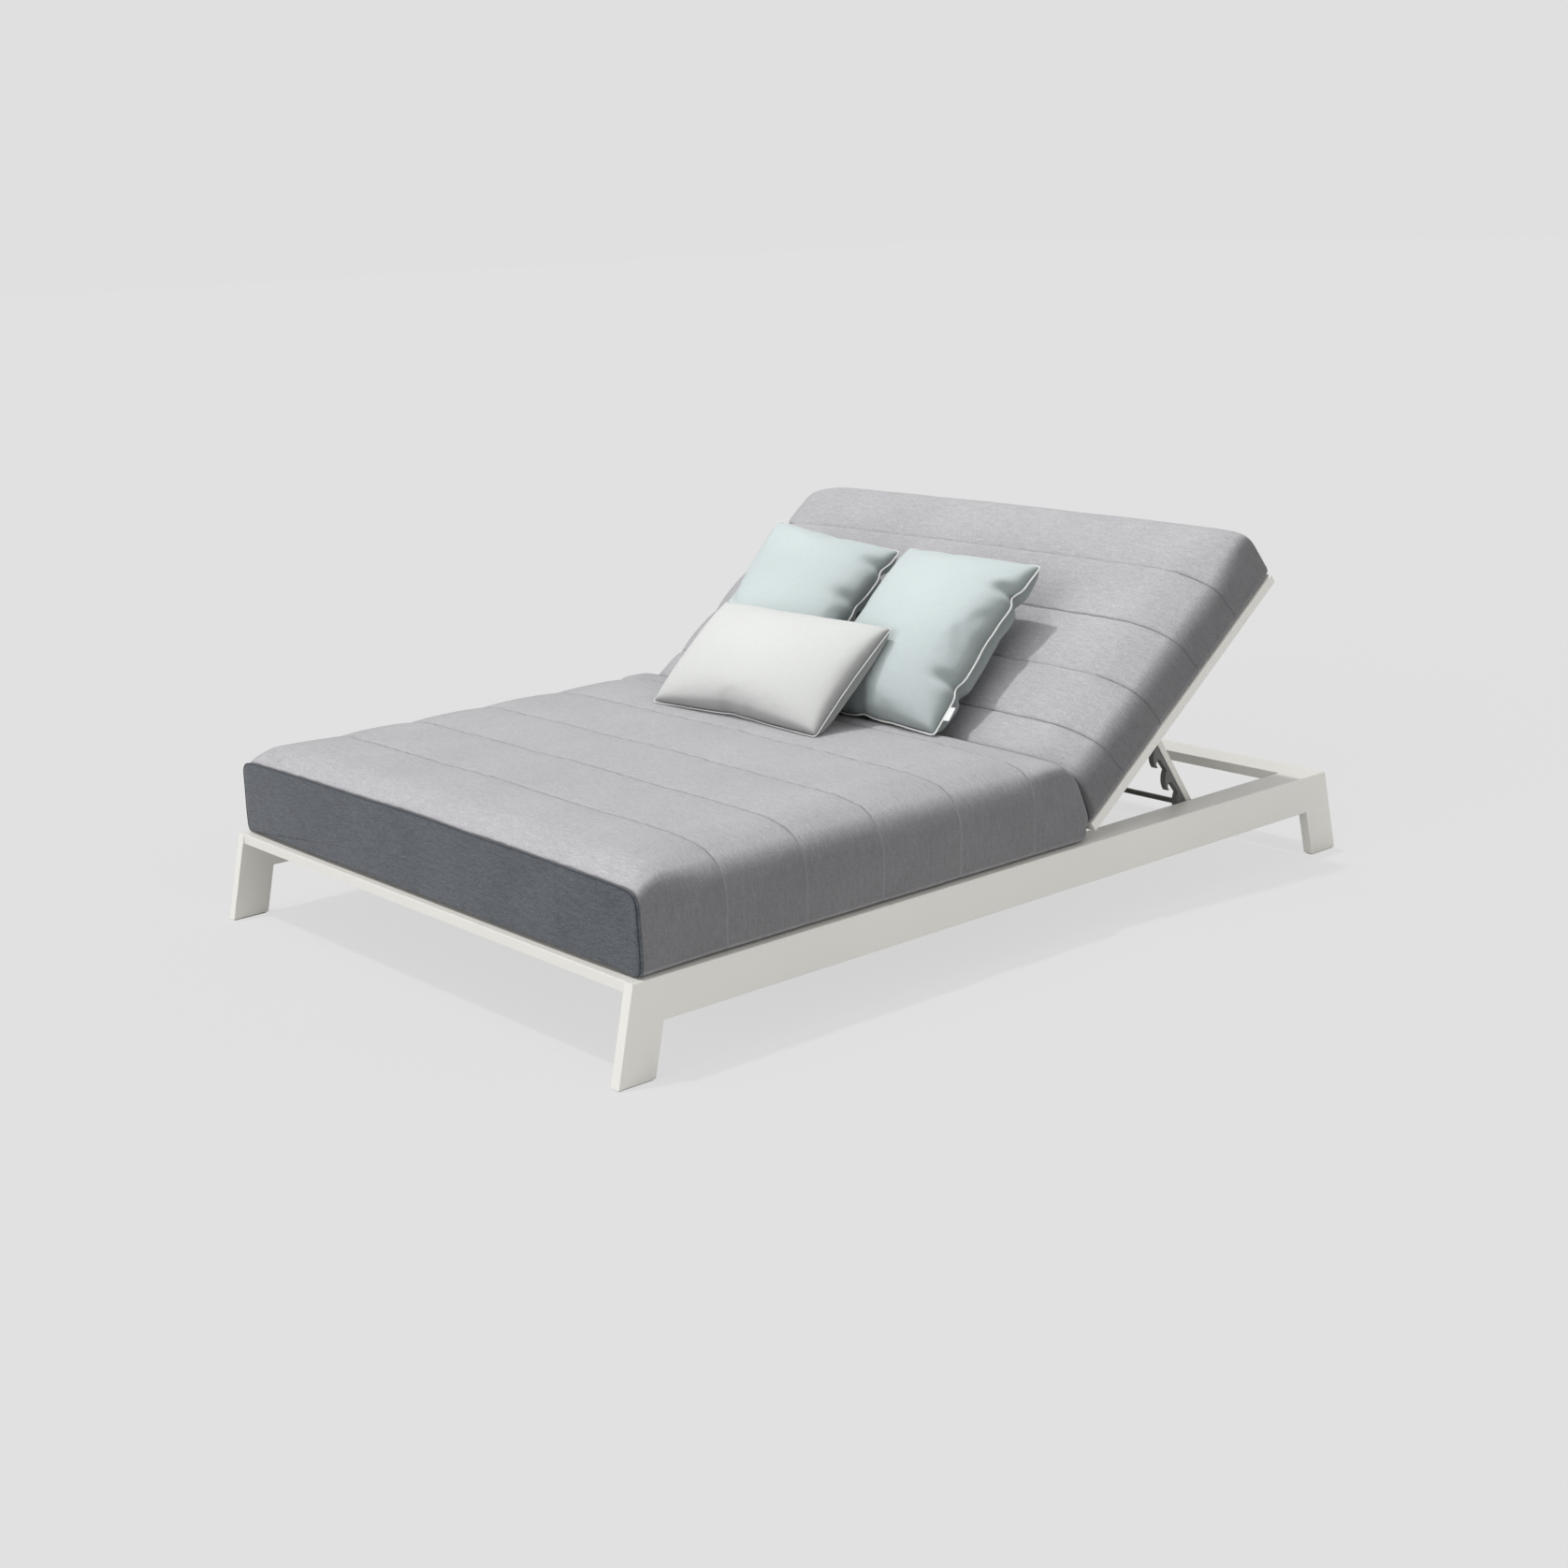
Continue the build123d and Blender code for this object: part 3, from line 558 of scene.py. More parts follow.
@dataclass
class ChannelledPad:
    """A long pad with sewn channels across it, built of rings from one end to the other."""

    name: str
    half_section: HalfSection
    start_section: HalfSection
    end_section: HalfSection
    seams: tuple[float, ...]
    start: float
    end: float
    rise: float
    drawn_in: float
    seed: float
    ring_points: int = 168
    foot_points: int = 24
    station_gap: float = 0.0125
    seam_steps: tuple[float, ...] = (0.0, 0.0012, 0.003, 0.006, 0.0105)
    groove: float = 0.003
    painted_shade_gain: float = 1.0
    seam_strengths: tuple[float, ...] = ()
    # Paler seam thread on the sides; a pad with it also takes painted crease shade on its rear end's inner
    # rings.
    pale_thread_and_roll_shade: float = 0.0
    crown: float = 0.003
    channel_power: float = 2.6
    groove_width: float = 0.0022
    seam_width: float = 0.0018
    crease_shade_width: float = 0.005
    crease_shade_strength: float = 1.5
    shoulder_share: float = 0.17
    shoulder_gain: float = 6.0
    side_groove_loss: float = 0.7
    # Each end ring: its share of the rim's size, and how much painted crease shade it takes on a rear end,
    # where the seat rolls under the back cushion.
    cap_rings: tuple[tuple[float, float], ...] = (
        (0.97, 0.0), (0.9, 0.0), (0.82, 0.3), (0.76, 1.5), (0.5, 1.5), (0.2, 1.5),
    )

    def stations(self) -> list[float]:
        """Where the rings stand: close at the seams, wider between them."""
        marks = [self.start, *self.seams, self.end]
        places = set()
        for seam in self.seams:
            for step in self.seam_steps:
                places.update((round(seam - step, 5), round(seam + step, 5)))
        places.update(self.start + step for step in self.end_steps(True))
        places.update(self.end - step for step in self.end_steps(False))
        taken = sorted(places)
        for low, high in zip(marks, marks[1:]):
            count = max(2, round((high - low) / self.station_gap))
            for index in range(1, count):
                place = low + (high - low) * index / count
                if min(abs(place - other) for other in taken) > self.station_gap * 0.45:
                    places.add(place)
        return sorted(places)

    def end_steps(self, first: bool) -> tuple[float, ...]:
        """How far in from an end the rings of its rounding stand."""
        return (0.0, 0.002, 0.005, 0.010, 0.017, 0.026, 0.036)

    def fullness(self, place: float) -> float:
        """How far a channel puffs out at a place, from 0 at its seams to 1."""
        marks = [self.start, *self.seams, self.end]
        for low, high in zip(marks, marks[1:]):
            if low <= place <= high:
                share = (place - low) / (high - low)
                if low == self.start:
                    share = max(share, 0.5)
                if high == self.end:
                    share = min(share, 0.5)
                return 1 - abs(2 * share - 1) ** self.channel_power
        return 1.0

    def near_rim(self, place: float) -> float:
        """How far a place is from a sewn rim at the pad's start, where it has one."""
        return 1.0

    def crease(self, place: float, heights: Points) -> Points:
        """How far a ring's points are from the crease that the two cushions form."""
        return np.ones(len(heights))

    def strength(self, place: float) -> float:
        """How deep the seam nearest to a place is drawn on the pad's flat part."""
        gaps = [abs(place - seam) for seam in self.seams]
        return self.seam_strengths[gaps.index(min(gaps))] if self.seam_strengths else 1.0

    def shape_end(self, place: float) -> tuple[float, float]:
        """How far the top falls and the sides draw in at a place near an end."""
        return 0.0, 0.0

    def squareness(self, place: float) -> tuple[float, float]:
        """How far the pad's outline has gone to that of its start and of its end, at a place."""
        return 0.0, 0.0

    def outline_at(self, place: float) -> Points:
        """The pad's outline at a place, between its middle one and those of its ends."""
        first, last = self.squareness(place)
        ring = self.outline(self.half_section) * (1 - first - last)
        if first:
            ring += self.outline(self.start_section) * first
        if last:
            ring += self.outline(self.end_section) * last
        return ring

    def outline(self, section: HalfSection) -> Points:
        """A section of the pad, as a closed ring of y and z."""
        right = list(section)
        left = [(-y, z) for y, z in right]
        crown = [(0.0, right[-1][1] + self.crown)]
        ring = through(left + crown + right[::-1], self.ring_points)
        foot_y = right[0][0]
        foot = [(foot_y - 2 * foot_y * (index + 1) / (self.foot_points + 1), right[0][1])
                for index in range(self.foot_points)]
        return np.vstack([ring, foot])

    def bend(self, points: Points, place: float) -> Points:
        """Takes a flat ring to where it lies in the lounger."""
        return points

    def wrinkled(self, place: float, ring: Points, near: float) -> Points:
        """How far the cloth stands out or in by its small folds, at each point of a ring."""
        moved = np.zeros(len(ring))
        for index, (y, z) in enumerate(ring):
            wave = noise.noise(Vector((place * 7, y * 7, z * 7 + self.seed)))
            pucker = noise.noise(Vector((place * 9, y * 42, z * 42 - self.seed)))
            moved[index] = wave * 0.0018 + pucker * 0.0026 * near
        return moved

    def build(self) -> bpy.types.Object:
        """Builds the pad as one closed mesh with its cloth's lie, its seams, its painted crease shade and its
        painted side shade.
        """
        base = self.outline(self.half_section)
        height = base[:, 1].max()
        half = np.abs(base[:, 0]).max()
        steps = np.linalg.norm(np.diff(np.vstack([base, base[:1]]), axis=0), axis=1)
        along_ring = np.concatenate([[0], np.cumsum(steps)[:-1]])
        rings, lies, seams, sides, pales = [], [], [], [], []
        for place in self.stations():
            puff = self.fullness(place)
            fall, draw = self.shape_end(place)
            plain = self.outline_at(place)
            ring = plain.copy()
            lift = np.clip(ring[:, 1] / height, 0, 1)
            ring[:, 1] += (self.rise * puff - fall) * lift ** 1.2
            ring[:, 0] *= 1 - (self.drawn_in * (1 - puff) * np.minimum(1, lift * 3 + 0.25) + draw) / half
            away = min(abs(place - seam) for seam in self.seams)
            edge = min(away, self.near_rim(place))
            crease = self.crease(place, plain[:, 1])
            near = math.exp(-((edge - 0.012) / 0.02) ** 2)
            dent = self.groove * math.exp(-(away / self.groove_width) ** 2)
            out = np.column_stack([np.sign(ring[:, 0]) * np.clip((np.abs(ring[:, 0]) - 0.55) / 0.15, 0, 1),
                                   np.clip(ring[:, 1] / height, 0, 1) ** 3])
            out /= np.maximum(np.linalg.norm(out, axis=1), 0.2)[:, None]
            skin = np.clip(lift * 8, 0, 1)
            # Painted shade: turned (steepness) and the shoulder share mark the sides, which the cloth paints
            # darker; turned also pales the side thread and eases the side groove, and the shoulder deepens
            # and darkens the seams.
            slope = np.roll(plain, -1, axis=0) - np.roll(plain, 1, axis=0)
            steep = np.abs(slope[:, 1]) / np.maximum(np.linalg.norm(slope, axis=1), 1e-6)
            turned = np.clip((steep - 0.45) / 0.47, 0, 1)
            shoulder = self.shoulder_share * np.clip((steep - 0.03) / 0.25, 0, 1)
            drawn = np.maximum(self.strength(place), np.minimum(1, shoulder * self.shoulder_gain))
            moved = self.wrinkled(place, plain, near) - dent * drawn * (1 - self.side_groove_loss * turned)
            ring += out * (moved * skin)[:, None]
            flat = np.column_stack([np.full(len(ring), place), ring[:, 0], ring[:, 1]])
            rings.append(self.bend(flat, place))
            lies.append(np.column_stack([np.full(len(ring), place), along_ring, np.zeros(len(ring))]))
            sewn = drawn * math.exp(-(edge / self.seam_width) ** 2)
            # Painted shade: a dark line along the crease where the two cushions meet, carried in the seam
            # mark.
            crease_shade = self.crease_shade_strength * np.exp(-(crease / self.crease_shade_width) ** 2)
            seams.append(np.maximum(sewn, crease_shade))
            pales.append(turned * self.pale_thread_and_roll_shade)
            sides.append(np.maximum(turned, shoulder) * self.painted_shade_gain)
        count = len(base)
        faces = []
        for row in range(len(rings) - 1):
            faces += between(row * count, (row + 1) * count, count)
        self.close(rings, lies, seams, sides, faces, count)
        pales += [np.zeros(len(ring)) for ring in rings[len(pales):]]
        piece = make_mesh(self.name, np.vstack(rings), faces)
        keep(piece, "cloth", np.vstack(lies))
        keep(piece, "seam", np.concatenate(seams))
        keep(piece, "side", np.concatenate(sides))
        keep(piece, "pale", np.concatenate(pales))
        return piece

    def close(self, rings: list, lies: list, seams: list, sides: list, faces: list, count: int) -> None:
        """Closes both ends with rings that shrink to a middle point, in full painted side shade.

        Args:
            rings: The pad's rings, which grow by those of the ends.
            lies: The cloth's lie at each point.
            seams: The share of seam line and painted crease shade at each point.
            sides: The painted side shade's share at each point.
            faces: The faces so far.
            count: How many points a ring has.
        """
        total = len(rings) * count
        for edge, at_start in ((0, True), (len(rings) - 1, False)):
            rim = rings[edge]
            lie = lies[edge]
            middle = rim.mean(axis=0)
            last = edge * count
            for scale, roll_shade in self.cap_rings:
                inner = self.cap(middle + (rim - middle) * scale, scale, at_start)
                rings.append(inner)
                reach = np.linalg.norm(rim - inner, axis=1) * (-1 if at_start else 1)
                lies.append(lie + np.column_stack([reach, np.zeros(count), np.zeros(count)]))
                seams.append(np.full(count, 0.0 if at_start else roll_shade * self.pale_thread_and_roll_shade))
                sides.append(np.ones(count))
                faces += between(last, total, count)
                last = total
                total += count
            rings.append(self.cap(middle[None, :], 0.0, at_start))
            lies.append(lie.mean(axis=0)[None, :])
            seams.append(np.zeros(1))
            sides.append(np.ones(1))
            faces += fan(last, total, count)
            total += 1

    def cap(self, points: Points, scale: float, at_start: bool) -> Points:
        """Where the points of an end's inner rings lie."""
        return points


def end_places(curve: Sequence[tuple[float, float]], heights: Points) -> Points:
    """Where a cushion's shaped end lies at given heights.

    Args:
        curve: Pairs of height and place, from low to high.
        heights: The heights that are asked for.

    Returns:
        The place at each height.
    """
    dense = through(curve, 200)
    return np.interp(heights, dense[:, 0], dense[:, 1])


@dataclass
class SeatCushion(ChannelledPad):
    """The long cushion: a low front brow, five channels and an end that rolls over into the crease."""

    name: str = "seat_cushion_cover"
    half_section: HalfSection = (
        (0.692, 0.0005), (0.701, -0.0045), (0.710, -0.003), (0.7165, 0.008), (0.720, 0.036), (0.7225, 0.066),
        (0.721, 0.100), (0.714, 0.132), (0.697, 0.158), (0.668, 0.176), (0.622, 0.186), (0.560, 0.1905),
        (0.40, 0.1915), (0.20, 0.192),
    )
    start_section: HalfSection = (
        (0.692, 0.0005), (0.703, -0.0045), (0.7135, -0.003), (0.7180, 0.007), (0.7195, 0.036),
        (0.7190, 0.070), (0.7175, 0.110), (0.7172, 0.142), (0.7145, 0.160), (0.7065, 0.1725),
        (0.690, 0.1795), (0.655, 0.1830), (0.58, 0.1860), (0.40, 0.190), (0.20, 0.1915),
    )
    end_section: HalfSection = (
        (0.692, 0.0005), (0.700, -0.0045), (0.709, -0.004), (0.714, 0.006), (0.7160, 0.036), (0.7155, 0.070),
        (0.7155, 0.110), (0.7162, 0.138), (0.7140, 0.154), (0.7060, 0.1660), (0.690, 0.1720), (0.655, 0.1755),
        (0.58, 0.1795), (0.40, 0.188), (0.20, 0.1915),
    )
    seams: tuple[float, ...] = (-0.774, -0.580, -0.385, -0.174, 0.039)
    start: float = -0.9747
    end: float = 0.2024
    rise: float = 0.0035
    drawn_in: float = 0.0045
    seed: float = 3.1
    brow: float = 0.034
    pale_thread_and_roll_shade: float = 1.0
    brow_length: float = 0.075
    corner: float = 0.006
    edge_radius: float = 0.012
    front_run: float = 0.17
    rear_run: float = 0.12
    rear_place: float = 0.112
    rear_curve: tuple[tuple[float, float], ...] = (
        (0.0, 0.2024), (0.030, 0.2024), (0.040, 0.2065), (0.050, 0.2055), (0.070, 0.1985), (0.118, 0.1775),
        (0.140, 0.1600), (0.161, 0.1390), (0.175, 0.1240), (0.185, 0.1080), (0.192, 0.0900), (0.197, 0.0640),
    )

    def near_rim(self, place: float) -> float:
        """How far a place is from a sewn rim at the pad's start, where it has one."""
        return place - self.start

    def crease(self, place: float, heights: Points) -> Points:
        """How far a ring's points are from the crease that the two cushions form."""
        last = self.seams[-1]
        return (self.end - place) * (end_places(self.rear_curve, heights) - last) / (self.end - last)

    def squareness(self, place: float) -> tuple[float, float]:
        """How far the pad's outline has gone to that of its start and of its end, at a place."""
        front = max(0.0, 1 - (place - self.start) / self.front_run) ** 1.3
        rear = min(1.0, max(0.0, 1 - (self.rear_place - place) / self.rear_run))
        return front, rear * rear * (3 - 2 * rear)

    def shape_end(self, place: float) -> tuple[float, float]:
        """How far the top falls and the sides draw in at a place near an end."""
        from_front = place - self.start
        fall = self.brow * max(0.0, 1 - from_front / self.brow_length) ** 2
        from_rear = self.end - place
        draw = 0.0
        if from_rear < self.edge_radius:
            draw = self.edge_radius - math.sqrt(self.edge_radius ** 2 - (self.edge_radius - from_rear) ** 2)
        return fall, draw

    def bend(self, points: Points, place: float) -> Points:
        """Sets a ring on the frame, with rounded front corners and the rear end's own curve."""
        out = points.copy()
        out[:, 0] += corner_shift(points[:, 1], self.corner) * max(0.0, 1 - (place - self.start) / 0.12)
        last = self.seams[-1]
        if place > last:
            share = (place - last) / (self.end - last)
            out[:, 0] = last + (end_places(self.rear_curve, points[:, 2]) - last) * share
        out[:, 2] += SEAT_BASE
        return out

    def cap(self, points: Points, scale: float, at_start: bool) -> Points:
        """Lays the rear end's inner rings on the end's curve."""
        out = points.copy()
        if not at_start:
            out[:, 0] = end_places(self.rear_curve, points[:, 2] - SEAT_BASE)
        return out


def corner_shift(across: Points, corner: float) -> Points:
    """How far the front of the seat cushion goes back towards its corners."""
    return corner * np.clip(np.abs(across) / 0.722, 0, 1) ** 7


@dataclass
class BackCushion(ChannelledPad):
    """The cushion on the backrest, deeper than the seat's, with a full rounded top end."""

    name: str = "back_cushion_cover"
    half_section: HalfSection = (
        (0.704, 0.0005), (0.7135, 0.010), (0.7145, 0.026), (0.711, 0.046), (0.7075, 0.070), (0.699, 0.088),
        (0.681, 0.106), (0.640, 0.125), (0.583, 0.1375), (0.480, 0.1415), (0.390, 0.1425), (0.20, 0.143),
    )
    start_section: HalfSection = half_section
    end_section: HalfSection = (
        (0.704, 0.0005), (0.7115, 0.010), (0.7115, 0.034), (0.7100, 0.071), (0.7085, 0.098), (0.7040, 0.116),
        (0.691, 0.1285), (0.660, 0.1355), (0.583, 0.1395), (0.480, 0.1415), (0.390, 0.1425), (0.20, 0.143),
    )
    top_run: float = 0.14
    seams: tuple[float, ...] = (0.135, 0.282, 0.437, 0.596)
    start: float = 0.0035
    end: float = 0.7445
    rise: float = 0.0065
    drawn_in: float = 0.003
    seed: float = 11.7
    top_radius: float = 0.038
    foot_radius: float = 0.016
    end_bulge: float = 0.005
    painted_shade_gain: float = 1.08
    seam_strengths: tuple[float, ...] = (1.0, 0.5, 0.9, 0.3)
    left_fullness: float = 1.0
    left_corner: float = 0.030
    end_middle: float = 0.08
    puckers: tuple[tuple[float, float], ...] = ((0.37, 0.06), (0.19, 0.045))
    pucker_gap: float = 0.042
    foot_curve: tuple[tuple[float, float], ...] = (
        (0.0, 0.0035), (0.012, 0.0060), (0.040, 0.0160), (0.070, 0.0230), (0.092, 0.0272), (0.120, 0.0270),
        (0.150, 0.0235),
    )

    def squareness(self, place: float) -> tuple[float, float]:
        """How far the pad's outline has gone to that of its start and of its end, at a place."""
        return 0.0, max(0.0, 1 - (self.end - place) / self.top_run) ** 1.3

    def crease(self, place: float, heights: Points) -> Points:
        """How far a ring's points are from the crease that the two cushions form; the first 10 mm above the
        lower end count as in it, for a wider painted crease shade.
        """
        return np.full(len(heights), max(0.0, place - self.start - 0.010))

    def outline_at(self, place: float) -> Points:
        """The pad's outline at a place, with its left shoulder fuller than its right one."""
        ring = super().outline_at(place)
        share = self.left_fullness * np.clip((ring[:, 0] - 0.25) / 0.3, 0, 1)
        return ring + (self.outline(self.end_section) - ring) * share[:, None]

    def wrinkled(self, place: float, ring: Points, near: float) -> Points:
        """How far the cloth stands out or in, with short slanted puckers along the top seam."""
        moved = super().wrinkled(place, ring, near)
        past = place - self.seams[-1]
        for middle, reach in self.puckers:
            close = math.exp(-((past - 0.016) / 0.014) ** 2) * np.exp(-((ring[:, 0] - middle) / reach) ** 2)
            moved += 0.0016 * close * np.sin(2 * math.pi * (ring[:, 0] + 0.7 * past) / self.pucker_gap)
        return moved

    def end_steps(self, first: bool) -> tuple[float, ...]:
        """How far in from an end the rings of its rounding stand."""
        if first:
            return (0.0, 0.0015, 0.004, 0.009, 0.016)
        return (0.0, 0.0012, 0.004, 0.009, 0.016, 0.026, 0.038)

    def shape_end(self, place: float) -> tuple[float, float]:
        """How far the top falls and the sides draw in at a place near an end."""
        fall, draw = 0.0, 0.0
        for inward, radius, width in (
            (self.end - place, self.top_radius, 0.009), (place - self.start, self.foot_radius, 0.006),
        ):
            if inward < radius:
                drop = 1 - math.sqrt(max(0.0, 1 - (1 - inward / radius) ** 2))
                fall += drop * radius * 0.8
                draw += drop * width
        return fall, draw

    def bend(self, points: Points, place: float) -> Points:
        """Sets a ring on the raised backrest, with the lower end's own curve."""
        out = points.copy()
        first = self.seams[0]
        if place < first:
            share = (first - place) / (first - self.start)
            out[:, 0] = first + (end_places(self.foot_curve, points[:, 2]) - first) * share
        last = self.seams[-1]
        if place > last:
            out[:, 0] -= self.cut_corner(points[:, 1], points[:, 2]) * (place - last) / (self.end - last)
        return raised(out)

    def cut_corner(self, across: Points, square: Points) -> Points:
        """How far the top end goes back at its left corner."""
        return self.left_corner * np.clip((across - 0.58) / 0.135, 0, 1) ** 2 * np.clip(square / 0.1, 0, 1)

    def cap(self, points: Points, scale: float, at_start: bool) -> Points:
        """Crowns the top end a little, with its left corner going back. The lower end keeps its curve."""
        if at_start:
            return points
        way = np.array((math.cos(RAISED), 0, math.sin(RAISED)))
        normal = np.array((-math.sin(RAISED), 0, math.cos(RAISED)))
        square = (points - np.array((BACK_ORIGIN[0], 0, BACK_ORIGIN[1]))) @ normal
        wide = max(scale, 0.05)
        rim_square = self.end_middle + (square - self.end_middle) / wide
        had = self.cut_corner(points[:, 1] / wide, rim_square) * wide
        lift = self.end_bulge * (1 - scale ** 2) + had - self.cut_corner(points[:, 1], square)
        return points + way * lift[:, None]


@dataclass
class FrontPanel:
    """The flat panel of darker cloth across the seat cushion's front, with its piping."""

    front: float = -0.985
    back: float = -0.9751
    bulge: float = 0.0008
    piping: float = 0.0015
    puff: float = 0.0012
    face_scales: tuple[float, ...] = (
        0.985, 0.97, 0.95, 0.92, 0.88, 0.83, 0.77, 0.7, 0.6, 0.48, 0.35, 0.2, 0.08,
    )

    def edge(self, cushion: SeatCushion) -> Points:
        """The panel's outline: across under the brow, down a corner, along the foot and up the other."""
        edge = cushion.outline_at(cushion.start)
        fall, _ = cushion.shape_end(cushion.start)
        edge[:, 1] += (cushion.rise - fall) * np.clip(edge[:, 1] / edge[:, 1].max(), 0, 1) ** 1.2
        return edge

    def build(self, cushion: SeatCushion) -> bpy.types.Object:
        """Builds the panel as a thin closed pad.

        Args:
            cushion: The cushion whose front it covers.

        Returns:
            The panel.
        """
        edge = self.edge(cushion)
        count = len(edge)
        middle = np.array([0.0, edge[:, 1].max() * 0.45])
        points, lies, faces = [], [], []
        layers = [(self.back, 1.0), (self.back - 0.004, 1.003)]
        layers += [(self.front + 0.002, 1.001), (self.front, 0.992)]
        layers += [(self.front - self.bulge * (1 - scale ** 2), scale) for scale in self.face_scales]
        for place, scale in layers:
            ring = middle + (edge - middle) * scale
            ring[:, 1] = np.maximum(ring[:, 1], -0.0045)
            shift = corner_shift(ring[:, 0], cushion.corner)
            lift = np.clip(ring[:, 1] * 6, 0, 1) * (1 if scale < 0.99 else 0)
            waves = np.array([noise.noise(Vector((y * 6, z * 9, 4.2))) for y, z in ring])
            puffs = waves * self.puff * lift
            points.append(np.column_stack([place + shift - puffs, ring[:, 0], ring[:, 1] + SEAT_BASE]))
            lies.append(np.column_stack([ring[:, 1], ring[:, 0], np.zeros(count)]))
        for row in range(len(layers) - 1):
            faces += between(row * count, (row + 1) * count, count)
        for row in (0, len(layers) - 1):
            centre = points[row].mean(axis=0)
            lies.append(lies[row].mean(axis=0)[None, :])
            points.append(centre[None, :])
            tip = sum(len(part) for part in points) - 1
            faces += fan(row * count, tip, count)
        piece = make_mesh("front_panel_cover", np.vstack(points), faces)
        keep(piece, "cloth", np.vstack(lies))
        return dress(piece, Finish.PANEL, "base", ["seat_front_panel"])

    def build_piping(self, cushion: SeatCushion) -> bpy.types.Object:
        """Builds the piping along the panel's outline."""
        edge = self.edge(cushion)[:cushion.ring_points]
        shift = corner_shift(edge[:, 0], cushion.corner)
        path = np.column_stack([self.front + 0.0016 + shift, edge[:, 0], edge[:, 1] + SEAT_BASE])
        points, faces = tube(path, self.piping, 8, False)
        piece = make_mesh("front_panel_piping", points, faces)
        keep(piece, "cloth", points)
        # The whole piping takes the seam colour: a darker cord, partly painted shade.
        keep(piece, "seam", np.ones(len(points)))
        return dress(piece, Finish.PANEL, "base")


# Pillows


